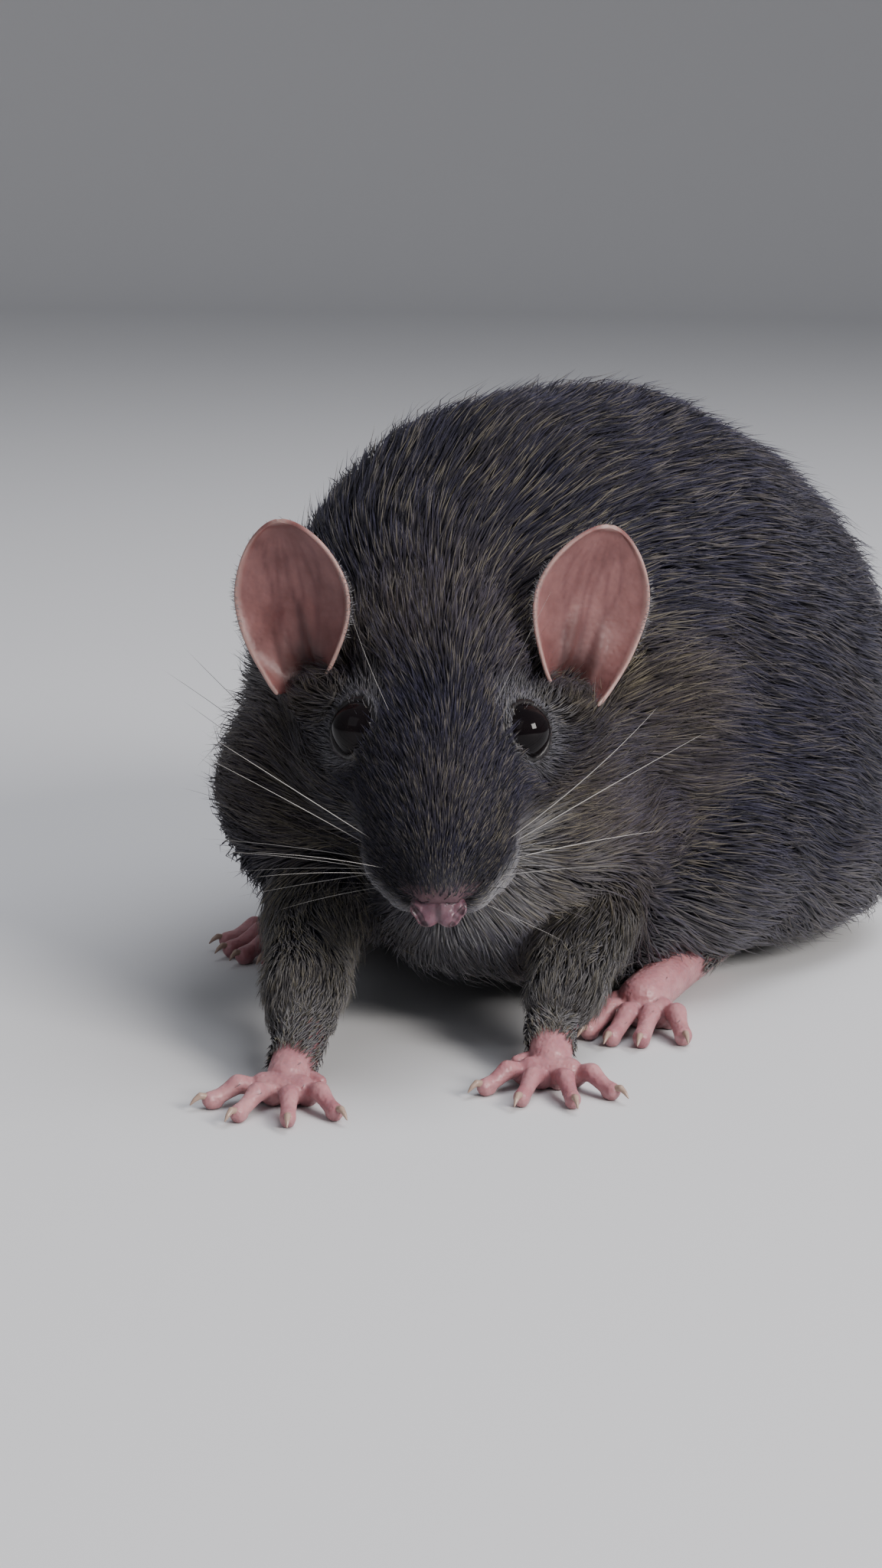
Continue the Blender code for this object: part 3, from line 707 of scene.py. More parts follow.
def gather(lines, flow, spacing, pull, rng):
    """Draws neighbouring strands together towards their tips, so that they lie in small tufts."""
    count = len(lines)
    leads = rng.choice(count, max(2, int(count / spacing)), replace=False)
    tree = KDTree(len(leads))
    for index, lead in enumerate(leads):
        tree.insert(lines[lead, 0], index)
    tree.balance()
    chosen = leads[[tree.find(root)[1] for root in lines[:, 0]]]
    offset = lines[chosen, 0] - lines[:, 0]
    offset -= flow * np.sum(offset * flow, axis=1)[:, None]
    share = np.linspace(0, 1, lines.shape[1]) ** 1.4
    pulls = pull * rng.uniform(0.4, 1.2, count)
    return lines + offset[:, None, :] * share[None, :, None] * pulls[:, None, None]


def strand_mesh(name, lines, width, data, uvs, ups):
    """Closed three-sided strands that taper to a point, with their marks and their bake patch."""
    count, knots = lines.shape[:2]
    rings = knots - 1
    ways = np.gradient(lines, axis=1)
    ways /= norms(ways)[:, :, None] + 1e-12
    across = np.cross(ways, ups[:, None, :])
    across /= norms(across)[:, :, None] + 1e-12
    over = np.cross(across, ways)
    taper = np.interp(np.arange(rings) / rings, (0, 0.34, 0.67, 1), (0.75, 1.0, 0.72, 0.2))
    half = width[:, None] / 2 * taper[None, :]
    verts = np.empty((count, rings * 3 + 1, 3))
    for side, (x, y) in enumerate(((-1.0, -0.35), (1.0, -0.35), (0.0, 0.55))):
        corner = across[:, :rings] * (half * x)[:, :, None] + over[:, :rings] * (half * y)[:, :, None]
        verts[:, side:rings * 3:3] = lines[:, :rings] + corner
    verts[:, -1] = lines[:, -1]
    verts[:, :, 2] = np.maximum(verts[:, :, 2], CAD_LOW.z + 0.1 * MM)
    pattern = [(0, 2, 1)]
    for ring in range(rings - 1):
        for side in range(3):
            a, b = ring * 3 + side, ring * 3 + (side + 1) % 3
            pattern += [(a, b, b + 3), (a, b + 3, a + 3)]
    last = (rings - 1) * 3
    pattern += [(last + side, last + (side + 1) % 3, rings * 3) for side in range(3)]
    pattern = np.array(pattern)
    faces = (np.arange(count) * (rings * 3 + 1))[:, None, None] + pattern[None]
    mesh = bpy.data.meshes.new(name)
    mesh.vertices.add(count * (rings * 3 + 1))
    mesh.vertices.foreach_set("co", verts.astype(np.float32).ravel())
    mesh.loops.add(faces.size)
    mesh.loops.foreach_set("vertex_index", faces.astype(np.int32).ravel())
    mesh.polygons.add(faces.size // 3)
    mesh.polygons.foreach_set("loop_start", np.arange(0, faces.size, 3, dtype=np.int32))
    mesh.update(calc_edges=True)
    obj = link(name, mesh)
    along = np.concatenate([np.repeat(np.arange(rings) / rings, 3), [1.0]])
    marks = np.empty((count, rings * 3 + 1, 4))
    marks[:, :, 0] = along[None]
    marks[:, :, 1:] = data[:, None, :]
    store(obj, "strand", marks)
    layer = mesh.uv_layers.new(name="OFBake")
    aside = np.concatenate([np.tile((0.0, 1.0, 0.5), rings), [0.5]])
    local = (np.stack([aside, along], 1) - 0.5) * BAKE_PATCH
    spots = np.clip(uvs[:, None, :], BAKE_PATCH, 1 - BAKE_PATCH) + local[None]
    layer.data.foreach_set("uv", spots[:, pattern.ravel()].astype(np.float32).ravel())
    return obj


def grow(skin, material, count, share, rings, seed, widths, spacing, pull):
    """One kind of strand over the skin, in pieces by region."""
    rng = np.random.default_rng(SEED + seed)
    roots, normals, uvs = surface_samples(skin, count, share, rng)
    count = len(roots)
    tree = BVHTree.FromObject(skin, bpy.context.evaluated_depsgraph_get())
    flow = flow_of(roots, normals)
    swirl = 0.22 * wave(roots, 17, 3.0) + 0.13 * wave(roots, 6, 4.0) + rng.normal(0, 0.10, count)
    across = np.cross(normals, flow)
    flow = flow * np.cos(swirl)[:, None] + across * np.sin(swirl)[:, None]
    length = fur_length_mm(roots) * MM * rng.uniform(0.72, 1.12, count)
    depth = coat_depth_mm(roots) * MM
    height = depth * (rng.uniform(0.35, 1.05, count) + 0.12 * wave(roots, 9, 5.0))
    near_ear = fade(nearest_ear_mm(roots), 9.0, 5.0)
    height += near_ear * 0.6 * MM * rng.random(count) ** 2
    head_mm = in_head_mm(roots)
    chin = fade(head_mm[:, 2], -4, -8) * fade(head_mm[:, 0], 26, 14) * headness(roots)
    height += chin * MM * rng.random(count)
    guard = rng.random(count) < 0.05
    length[guard] *= 1.15
    height[guard] = depth[guard] * rng.uniform(1.2, 1.6, guard.sum())
    thin, thick = widths
    width = thin + (thick - thin) * fade(length / MM, 2.0, 9.0)
    width *= MM * rng.uniform(0.75, 1.25, count)
    width[guard] *= 0.45
    lines = walk(tree, roots, normals, flow, length, height, rings)
    lines = gather(lines, flow, spacing, pull, rng)
    tan, pale = markings(roots)
    chance = np.clip(rng.random(count) + 0.10 * wave(roots, 11, 6.0), 0, 1)
    data = np.stack([chance, tan, pale], 1)
    labels = regions(roots)
    for label in sorted(set(labels)):
        here = labels == label
        piece = strand_mesh(
            f"coat_{label}_{seed}", lines[here], width[here], data[here], uvs[here], normals[here]
        )
        give(piece, "coat", material)


def grow_coat(skin, material):
    """Long strands on the body, short fine ones on the head and the forelegs."""
    grow(skin, material, BODY_STRANDS, body_share, 2, 1, (0.17, 0.33), 9, 0.36)
    grow(skin, material, FACE_STRANDS, face_share, 2, 2, (0.15, 0.34), 7, 0.36)
    grow(skin, material, LEG_STRANDS, leg_share, 2, 3, (0.14, 0.24), 5, 0.15)


def regions(points):
    """The name of the coat's piece that each root belongs to."""
    plan = in_plan_mm(points)
    back, left, _up = in_head_mm(points).T
    side = np.where(plan[:, 0] > 0, "left", "right")
    band = np.where(plan[:, 1] > 6, "rump_", np.where(plan[:, 1] > -26, "loin_", "chest_"))
    labels = np.char.add(band, side).astype("U16")
    head = headness(points) > 0.5
    face = np.where(back < 24, "face_", "crown_")
    labels[head] = np.char.add(face, np.where(left > 0, "left", "right"))[head]
    legs = leg_shares(points)
    for (share, _way, _along), (name, _sign) in zip(legs, SIDES):
        labels[share > 0.5] = "foreleg_" + name
    return labels


# Eyes and lids

def eye_centre(sign):
    back, out, up = EYE_PLACE_MM
    return head_point(back, out * sign, up)


def eye_axes(sign):
    """Columns: along the slit towards the nose, across it, and out of the eye."""
    out = (HEAD_AXES @ Vector((-0.26, 0.70 * sign, 0.66))).normalized()
    along = (HEAD_AXES @ Vector((-0.77, 0.22 * sign, -0.60))).normalized()
    along = (along - out * along.dot(out)).normalized()
    return Matrix((along, out.cross(along), out)).transposed()


def lid_opening(turn, sign):
    """The lids' half angle round the ball, in degrees: wider in front, and drawn out at both corners."""
    axes = np.array(eye_axes(sign))
    way = np.cos(turn)[:, None] * axes[:, 0] + np.sin(turn)[:, None] * axes[:, 1]
    inward = np.clip(-sign * way @ np.array(LEFTWARD), 0, 1)
    corner = np.where(np.cos(turn) > 0, 11, 3) * np.abs(np.cos(turn)) ** 7
    return 62 + 7 * inward + corner


def make_eye(side, sign, material):
    """The ball, with the cornea's slight bulge."""
    ball = egg("eyeball_" + side, eye_centre(sign), (EYE_RADIUS,) * 3, eye_axes(sign), 32)
    points = vertices_of(ball)
    centre, out = np.array(eye_centre(sign)), np.array(eye_axes(sign).col[2])
    facing = (points - centre) @ out / EYE_RADIUS
    points += (out * 0.22 * MM)[None] * fade(facing, 0.6, 1.0)[:, None]
    set_vertices(ball, points)
    give(ball, "eye", material, "eye_" + side)


def make_lids(side, sign, material):
    """A thin dark rim that hugs the ball round the opening."""
    ring = {"major_segments": 96, "minor_segments": 12, "major_radius": 1.0, "minor_radius": 0.25}
    lids = primitive("lids_" + side, bpy.ops.mesh.primitive_torus_add, **ring)
    axes, centre = np.array(eye_axes(sign)), np.array(eye_centre(sign))
    points = vertices_of(lids)
    turn = np.arctan2(points[:, 1], points[:, 0])
    across = (np.hypot(points[:, 0], points[:, 1]) - 1) / 0.25
    lift = points[:, 2] / 0.25
    angle = np.radians(lid_opening(turn, sign) + 3.0 + 6.5 * across)
    way = np.stack([np.sin(angle) * np.cos(turn), np.sin(angle) * np.sin(turn), np.cos(angle)], 1)
    radius = EYE_RADIUS + (0.12 + 0.34 * lift + 0.10 * across) * MM
    set_vertices(lids, centre + way * radius[:, None] @ axes.T)
    if np.linalg.det(axes) < 0:
        lids.data.flip_normals()
    store(lids, "shade", np.tile((0.9, 0.0, 0.9, 0.0), (len(points), 1)))
    give(lids, "coat", material)


# Nose

NOSE_CORE_MM = ((1.8, 0, -0.4), (2.4, 2.6, 1.8))  # middle in the head's axes, and half axes
NOSE_PAD_MM = ((0.0, 1.3, -1.15), (1.45, 1.5, 1.3))
NOSE_WING_MM = ((0.9, 2.4, -0.6), (1.45, 1.1, 1.15))
NOSE_LIP_MM = ((1.2, 0.65, -2.5), (1.2, 0.8, 1.3))
NOSTRIL_MM = ((-1.3, 1.65, -1.2), (-0.8, 2.25, -0.55), (0.0, 2.8, -0.1), (1.0, 3.4, 0.1))
CLEFT_MM = ((-1.6, 0, -0.2), (-1.7, 0, -1.4), (-0.6, 0, -2.7), (0.9, 0, -4.0))


def head_limb(places, radii):
    return hull_limb([head_point(*place) for place in places], [radius * MM for radius in radii])


def make_nose(material):
    """Two bare pads with comma nostrils between pad and wing, and a cleft that runs down to the lip."""
    balls = [(NOSE_CORE_MM, 0)]
    for _side, sign in SIDES:
        balls += [(ball, sign) for ball in (NOSE_PAD_MM, NOSE_WING_MM, NOSE_LIP_MM)]
    nose = join("nose", [
        egg("nose", head_point(back, out * sign, up), Vector(axes) * MM, HEAD_AXES)
        for ((back, out, up), axes), sign in balls
    ])
    fuse(nose, 0.16 * MM, 12)
    cutters, nostrils = [], []
    for _side, sign in SIDES:
        line = [(back, out * sign, up) for back, out, up in NOSTRIL_MM]
        nostrils += line
        cutters += head_limb(line, (0.36, 0.60, 0.44, 0.16))
    cutters += head_limb(CLEFT_MM, (0.12, 0.26, 0.30, 0.34))
    cutter = join("nose_cutter", cutters)
    fuse(cutter, 0.1 * MM, 1)
    modify(nose, "BOOLEAN", operation="DIFFERENCE", object=cutter, solver="EXACT")
    bpy.data.objects.remove(cutter, do_unlink=True)
    modify(nose, "REMESH", mode="VOXEL", voxel_size=0.12 * MM)
    modify(nose, "SMOOTH", factor=0.5, iterations=2)
    head_mm = in_head_mm(vertices_of(nose))
    hollow = np.min([norms(head_mm - spot) for spot in nostrils], axis=0)
    # Painted shade in the nostrils, down the cleft and under the lip end of the pads; the top of the pads is
    # also made darker.
    shade = 1.3 * fade(hollow, 0.75, 0.40) + 0.7 * fade(np.abs(head_mm[:, 1]), 0.6, 0.1)
    shade += 0.6 * fade(head_mm[:, 2], -2.4, -3.7) + 0.45 * fade(head_mm[:, 2], -1.2, 0.8)
    shade = np.clip(shade, 0, 1)
    store(nose, "shade", np.stack([shade, 0 * shade, shade, 0 * shade], 1))
    give(nose, "ear_skin", material)


# Ears

EAR_WIDTH = 16.4 * MM
EAR_WALL = 0.55 * MM
EAR_BURIED = 0.16


def ear_axes(side, sign):
    """Columns: across the ear, up it, and out of its mouth."""
    ahead = Vector((FORWARD.x, FORWARD.y, 0.0))
    rise = (Vector((0.0, 0.0, 1.0)) + LEFTWARD * (EARS[side][2] * sign) - ahead * 0.1).normalized()
    face = ahead.normalized() + LEFTWARD * (0.43 * sign) + Vector((0.0, 0.0, 0.05))
    face = (face - rise * face.dot(rise)).normalized()
    return Matrix((rise.cross(face), rise, face)).transposed()


def make_ear(side, sign, material, coat):
    """A thin cup with a rolled rim, shallow folds inside and a deep foot."""
    grid = {"x_subdivisions": 36, "y_subdivisions": 48, "size": 2.0}
    ear = primitive("ear_cup_" + side, bpy.ops.mesh.primitive_grid_add, **grid)
    (back, out, up), height, _tip_out = EARS[side]
    foot = np.array(head_point(back, out * sign, up))
    axes = np.array(ear_axes(side, sign))
    points = vertices_of(ear)
    aside, level = points[:, 0], (points[:, 1] + 1) / 2
    level = 1 - (1 - level) ** 1.35
    widest, narrow = 0.56, 0.30
    top = (1 - np.clip((level - widest) / (1 - widest), 0, 1) ** 1.75) ** 0.6
    low = narrow + (1 - narrow) * np.sin(math.pi / 2 * np.clip(level / widest, 0, 1)) ** 0.85
    half = np.maximum(np.where(level > widest, top, low), 0.02) * EAR_WIDTH / 2
    half *= 1 + 0.012 * np.sin(9 * level + 2 * sign)
    curl = 0.95 * (1 - 0.45 * level) + 0.75 * fade(level, 0.30, 0.0)
    x = half * np.sin(aside * curl) / np.sin(curl)
    depth = 0.9 * half * (np.cos(aside * curl) - np.cos(curl)) + 1.6 * MM * np.sin(math.pi * level)
    rim = np.maximum(fade(np.abs(aside), 0.86, 1.0), fade(level, 0.95, 1.0))
    rim *= fade(level, 0.1, 0.3)
    depth -= 0.35 * MM * rim
    inner = aside * sign
    fold = np.exp(-((inner + 0.35 - 0.5 * level) / 0.10) ** 2)
    fold *= fade(level, 0.05, 0.2) * fade(level, 0.62, 0.4)
    ridge = 0.8 * np.exp(-((inner - 0.42 + 0.2 * level) / 0.09) ** 2)
    fold += ridge * fade(level, 0.05, 0.15) * fade(level, 0.5, 0.3)
    depth -= 0.55 * MM * fold
    depth += 0.9 * MM * np.exp(-((aside / 0.45) ** 2)) * fade(level, 0.45, 0.1)
    y = (level - EAR_BURIED) * height
    set_vertices(ear, foot + np.stack([x, y, -depth], 1) @ axes.T)
    # Painted shade: the skin darkens in the cup's hollow low down and along its folds.
    deep = np.exp(-((aside / 0.5) ** 2)) * fade(level, 0.55, 0.12)
    edge = fade(np.abs(aside), 0.9, 1.0) * fade(level, 0.99, 0.85)
    edge = np.maximum(edge, fade(level, 0.975, 1.0))
    veins = ear_veins(aside, level, sign)
    store(ear, "shade", np.stack([np.clip(0.9 * deep + 0.3 * fold, 0, 1), 0.5 * edge, veins, edge], 1))
    modify(ear, "SOLIDIFY", thickness=EAR_WALL, offset=0.0)
    modify(ear, "SUBSURF", levels=1, render_levels=1)
    edit_all(ear, bpy.ops.mesh.normals_make_consistent, inside=False)
    give(ear, "ear_skin", material, "ear_" + side)
    furred_ear(ear, side, foot, axes, height, coat)


def ear_veins(aside, level, sign):
    """Three veins that rise from the ear's foot and fork twice on the way up."""
    veins = np.zeros(len(level))
    for trunk in (-0.45, 0.03, 0.48):
        for fork in (-1, 1):
            for twig in (-1, 1):
                path = trunk * (0.4 + 0.6 * level) + 0.030 * np.sin(12 * level + 7 * trunk + 2 * fork + sign)
                path += 0.12 * fork * fade(level, 0.30, 0.85)
                path += 0.06 * twig * fade(level, 0.58, 1.0)
                width = 0.050 - 0.025 * level
                veins = np.maximum(veins, np.exp(-(((aside - path) / width) ** 2)) * (1 - 0.55 * level))
    return veins * fade(level, 0.96, 0.8)


def furred_ear(ear, side, foot, axes, height, coat):
    """Fine pale hairs on the ear's back and along its rim."""
    rng = np.random.default_rng(SEED + 40 + len(side))

    def from_middle(points):
        return np.abs((points - foot) @ axes[:, 0]) / (EAR_WIDTH / 2)

    roots, normals, uvs = planted(
        ear, EAR_STRANDS, lambda spots: 0.5 + 1.5 * fade(from_middle(spots), 0.75, 0.95),
        lambda spots, facing: (facing @ axes[:, 2] < 0.25) | (from_middle(spots) > 0.85), rng
    )
    count = len(roots)
    away = roots - (foot + axes[:, 1] * (0.30 * height))
    flow = away / (norms(away)[:, None] + 1e-9) + rng.normal(0, 0.15, (count, 3))
    length = rng.uniform(0.6, 1.2, count) * MM
    heights = 0.16 * length[:, None] * np.linspace(0, 1, 3) - 0.05 * MM
    lines = straight_strands(roots, normals, along_surface(flow, normals), length, heights)
    data = np.tile((0.0, 0.6, 0.75), (count, 1))
    width = np.full(count, 0.07 * MM)
    give(strand_mesh("coat_ear_" + side, lines, width, data, uvs, normals), "coat", coat)


# Paws

FORE_PAWS_MM = {  # middle of the forearm, wrist, heading in degrees
    "left": ((27, -66, 10.5), (28.5, -72.5, 5.0), 30),
    "right": ((0, -86, 11), (6.5, -96.5, 5.0), 20),
}
HIND_PAWS_MM = {  # heel, ball, heading in degrees
    "left": ((24, -22, 5.2), (28.5, -49, 3.6), 8),
    "right": ((-26, -20, 5.2), (-31, -46, 3.6), -8),
}
FORE_DIGIT_MM = (7.3, 1.2)  # length and radius
FORE_TOES = ((-3.0, -0.4, -48, 0.92), (-1.1, 0.6, -17, 1.05), (1.1, 0.6, 14, 1.05), (3.0, -0.4, 46, 0.92))
HIND_DIGIT_MM = (9.0, 1.4)
HIND_TOES = (
    (-4.0, -1.12, -26, 0.86), (-2.1, -0.588, -10, 1.05), (0.0, 0.0, 0, 1.1), (2.1, -0.588, 10, 1.05),
    (4.0, -1.12, 34, 0.84),
)
CLAW_MM = (2.1, 0.31)
PAW_TRIANGLES = 36000
PAW_VOXEL = 0.20 * MM
CLAW_VOXEL = 0.10 * MM


def limb_mm(points, radii):
    return hull_limb([plan_point(*p) for p in points], [r * MM for r in radii], 8)


def heading_axes(degrees):
    """Ahead, and to the side, for a heading that many degrees from straight ahead."""
    turn = math.radians(degrees)
    return Vector((math.sin(turn), -math.cos(turn), 0.0)), Vector((math.cos(turn), math.sin(turn), 0.0))


def digit(root, degrees, length, radius, lift):
    """A toe with its joints and end pad, and its claw: the shells of each."""
    way, _across = heading_axes(degrees)
    spots = []
    for share, rise in ((0.0, 0.0), (0.24, 0.75), (0.45, 1.0), (0.62, 0.6), (0.8, 0.2), (1.0, 0.0)):
        spot = root + way * length * share
        spot.z = max(radius * 0.86, (root.z + lift) * rise + radius * 0.88 * (1 - rise))
        spots.append(spot)
    flesh = limb_mm(spots, [radius * k for k in (1.12, 0.92, 1.03, 0.86, 0.80, 0.86)])
    pad = spots[-1] - way * 0.2
    pad.z = radius * 0.55
    flesh += limb_mm((pad - way * 0.7, pad), (radius * 0.72, radius * 0.78))
    tip = spots[-1] + Vector((0, 0, 0.45))
    claw_length, claw_radius = CLAW_MM
    claw = []
    for share, drop, thick in ((0.0, 0.0, 1.5), (0.35, -0.25, 1.35), (0.7, 0.15, 0.95), (1.0, 0.75, 0.3)):
        spot = tip + way * (radius * 0.45 + claw_length * share) - Vector((0, 0, drop))
        spot.z = max(spot.z, 0.25)
        claw.append((spot, claw_radius * thick))
    return flesh, limb_mm(*zip(*claw))


def toes(front, degrees, size, lift, places):
    """The shells of a paw's toes and claws; places has (aside, ahead, turn, share of the length)."""
    way, across = heading_axes(degrees)
    flesh, nails = [], []
    for aside, ahead, turn, share in places:
        root = front + across * aside + way * ahead
        toe, nail = digit(root, degrees + turn, size[0] * share, size[1], lift)
        flesh += toe
        nails += nail
    return flesh, nails


def furred_paw(paw, node, wrist, way, coat, reach_mm):
    """Hair that runs from the wrist on to the back of the paw, and thins out towards the toes."""
    rng = np.random.default_rng(SEED + 30 + len(node))
    start, ahead = np.array(plan_point(*wrist)), np.array(way)

    def past_wrist(points):
        return (points - start) @ ahead / MM

    roots, normals, uvs = planted(
        paw, PAW_STRANDS, lambda spots: 0.004 + fade(past_wrist(spots), reach_mm, reach_mm - 3.5),
        lambda spots, facing: (spots[:, 2] > CAD_LOW.z + 1.2 * MM) & (facing[:, 2] > -0.5), rng
    )
    count = len(roots)
    flow = along_surface(ahead + rng.normal(0, 0.10, (count, 3)) - normals * 0.1, normals)
    along = past_wrist(roots)
    length = (1.5 + 2.9 * fade(along, reach_mm, reach_mm - 4.5)) * rng.uniform(0.7, 1.15, count) * MM
    tree = BVHTree.FromObject(paw, bpy.context.evaluated_depsgraph_get())
    lines = walk(tree, roots, normals, flow, length, length * rng.uniform(0.06, 0.22, count), 2)
    lines[:, :, 2] = np.maximum(lines[:, :, 2], CAD_LOW.z + 0.3 * MM)
    tan = 0.60 + 0.1 * fade(along, reach_mm - 3, reach_mm)
    pale = 0.46 + 0.12 * fade(along, reach_mm - 3.5, reach_mm)
    data = np.stack([rng.random(count), tan, pale], 1)
    width = (0.10 + 0.12 * fade(length / MM, 1.2, 3.0)) * MM
    give(strand_mesh("coat_" + node, lines, width, data, uvs, normals), "coat", coat)


def finish_paw(name, flesh, nails, node, material, horn):
    paw = join(name, flesh)
    fuse(paw, PAW_VOXEL, 3)
    thin_out(paw, PAW_TRIANGLES)
    level_soles(paw)
    # Painted shade on the surfaces that face down.
    under = fade(-normals_of(paw)[:, 2], 0.2, 0.8)
    store(paw, "shade", np.stack([0.25 * under, 0 * under] * 2, 1))
    give(paw, "paw_skin", material, node)
    claws = join("claws_" + node, nails)
    fuse(claws, CLAW_VOXEL, 2)
    give(claws, "paw_skin", horn)
    return paw


def level_soles(obj):
    """Presses the underside flat at the floor."""
    points = vertices_of(obj)
    points[:, 2] = np.maximum(points[:, 2], CAD_LOW.z + 0.02 * MM)
    set_vertices(obj, points)


def make_forepaw(side, sign, material, horn, coat):
    middle, wrist, degrees = FORE_PAWS_MM[side]
    way, across = heading_axes(degrees)
    middle, wrist = Vector(middle), Vector(wrist)
    palm = wrist + way * 5.0
    palm.z = 2.5
    front = palm + way * 2.2
    front.z = 2.0
    flesh = limb_mm((middle.lerp(wrist, 0.35), wrist, palm), (3.5, 2.9, 2.75))
    flesh += limb_mm((front - across * 2.4, front + across * 2.4), (1.75, 1.75))
    toe_flesh, nails = toes(front, degrees, FORE_DIGIT_MM, 0.5, FORE_TOES)
    flesh += toe_flesh
    stub = palm - across * (2.9 * sign) - way * 0.6
    flesh += limb_mm((stub, stub - across * (1.3 * sign) + way * 0.9), (1.0, 0.8))
    for aside, ahead in ((-2.0, 0.5), (2.0, 0.5), (0.0, 1.4)):
        pad = front + across * aside + way * (ahead - 1.6)
        pad.z = 0.9
        flesh += limb_mm((pad, pad + way * 0.6), (0.95, 0.9))
    paw = finish_paw("forepaw_flesh_" + side, flesh, nails, "forepaw_" + side, material, horn)
    furred_paw(paw, "forepaw_" + side, wrist, way, coat, 4.0)


def make_hindpaw(side, material, horn, coat):
    heel, ball, degrees = HIND_PAWS_MM[side]
    way, across = heading_axes(degrees)
    heel, ball = Vector(heel), Vector(ball)
    front = ball + way * 0.8
    front.z = 2.4
    flesh = limb_mm((heel, (heel + ball) / 2, ball), (4.0, 3.4, 3.2))
    flesh += limb_mm((front - across * 3.0, front + across * 3.0), (2.05, 2.05))
    toe_flesh, nails = toes(front, degrees, HIND_DIGIT_MM, 0.6, HIND_TOES)
    flesh += toe_flesh
    paw = finish_paw("hindfoot_flesh_" + side, flesh, nails, "hindfoot_" + side, material, horn)
    furred_paw(paw, "hindfoot_" + side, heel, way, coat, 12.0)


# Tail

TAIL_LENGTH_MM = 185
TAIL_ROOT_RADIUS_MM = 5.2
TAIL_TIP_RADIUS_MM = 1.3
SCALE_RING_MM = 1.15


def tail_point_mm(along):
    """Straight back, then a wide bend to the rat's left."""
    straight, bend = 35, 95
    if along <= straight:
        return Vector((2, 48 + along, 0))
    angle = (along - straight) / bend
    return Vector((2 + bend * (1 - math.cos(angle)), 48 + straight + bend * math.sin(angle), 0))


def make_tail(material, coat):
    """Rings of scales: one circle extruded along the tail, swelled and pinched at each ring."""
    around = 28
    levels = []
    along = -6.0
    while along < TAIL_LENGTH_MM - 0.4:
        share = (along + 8) / (TAIL_LENGTH_MM + 8)
        radius = TAIL_ROOT_RADIUS_MM + (TAIL_TIP_RADIUS_MM - TAIL_ROOT_RADIUS_MM) * share**0.85
        step = SCALE_RING_MM * (0.55 + 0.45 * radius / TAIL_ROOT_RADIUS_MM)
        for part, swell in ((0.0, -0.045), (0.3, 0.0), (0.7, 0.02), (0.93, 0.012)):
            levels.append((along + part * step, radius * (1 + swell), share))
        along += step
    for past, thin in ((-0.2, 0.8), (0.4, 0.3)):
        levels.append((TAIL_LENGTH_MM + past, TAIL_TIP_RADIUS_MM * thin, 1.0))
    form = bmesh.new()
    previous = None
    shades = []
    for index, (along, radius, share) in enumerate(levels):
        middle = tail_point_mm(along)
        middle.z = radius * 0.96 - 0.3 + 5 * max(0.0, 1 - share * 6) ** 2
        way = (tail_point_mm(along + 0.5) - tail_point_mm(along - 0.5)).normalized()
        side = way.cross(Vector((0, 0, 1)))
        ring = []
        for k in range(around):
            turn = 2 * math.pi * (k + 0.5 * (index // 4 % 2)) / around
            scale = 1 + 0.012 * math.cos(around / 2 * turn) * (1 if index % 4 in (1, 2) else 0)
            spot = middle + (side * math.cos(turn) + Vector((0, 0, math.sin(turn)))) * radius * scale
            spot.z = max(spot.z, 0.02)
            ring.append(form.verts.new(plan_point(*spot)))
            # Painted shade in the groove where each ring of scales is pinched.
            shades.append((0.5 if index % 4 == 0 else 0.0, share))
        if previous:
            for k in range(around):
                form.faces.new((previous[k], previous[(k + 1) % around], ring[(k + 1) % around], ring[k]))
        else:
            form.faces.new(ring[::-1])
        previous = ring
    form.faces.new(previous)
    bmesh.ops.recalc_face_normals(form, faces=form.faces)
    tail = object_of("tail", form)
    shades = np.array(shades)
    store(tail, "shade", np.stack([shades[:, 0], np.zeros(len(shades)), shades[:, 1], shades[:, 1]], 1))
    give(tail, "tail_skin", material, "tail_1", "tail_2", "tail_3", "tail_4")
    furred_tail(tail, coat)


def furred_tail(tail, coat):
    """The coat runs on over the tail's root, and fine bristles follow between the scales."""
    rng = np.random.default_rng(SEED + 50)
    roots, normals, uvs = planted(
        tail, TAIL_STRANDS, lambda spots: 0.12 + root_share(spots),
        lambda _spots, facing: facing[:, 2] > -0.6, rng
    )
    count = len(roots)
    plan = in_plan_mm(roots)
    angle = np.maximum(np.arctan2(plan[:, 1] - 83, 97 - plan[:, 0]), 0) * (plan[:, 1] > 83)
    flow = np.stack([np.sin(angle), np.cos(angle), 0 * angle], 1) + rng.normal(0, 0.08, (count, 3))
    root = root_share(roots)
    length = (0.9 + 5.0 * root) * rng.uniform(0.7, 1.15, count) * MM
    rise = (0.16 - 0.08 * root + 0.05 * rng.random(count)) * length
    heights = rise[:, None] * np.array((-0.3, 0.8, 1.0))
    lines = straight_strands(roots, normals, along_surface(flow, normals), length, heights)
    data = np.stack([rng.random(count) * root, 0.5 * root, 0.55 * (1 - root)], 1)
    give(strand_mesh("coat_tail", lines, (0.06 + 0.16 * root) * MM, data, uvs, normals), "coat", coat)


def root_share(points):
    """1 at the tail's root, 0 past the coat's end."""
    return fade(in_plan_mm(points)[:, 1], 67, 52)


# Whiskers

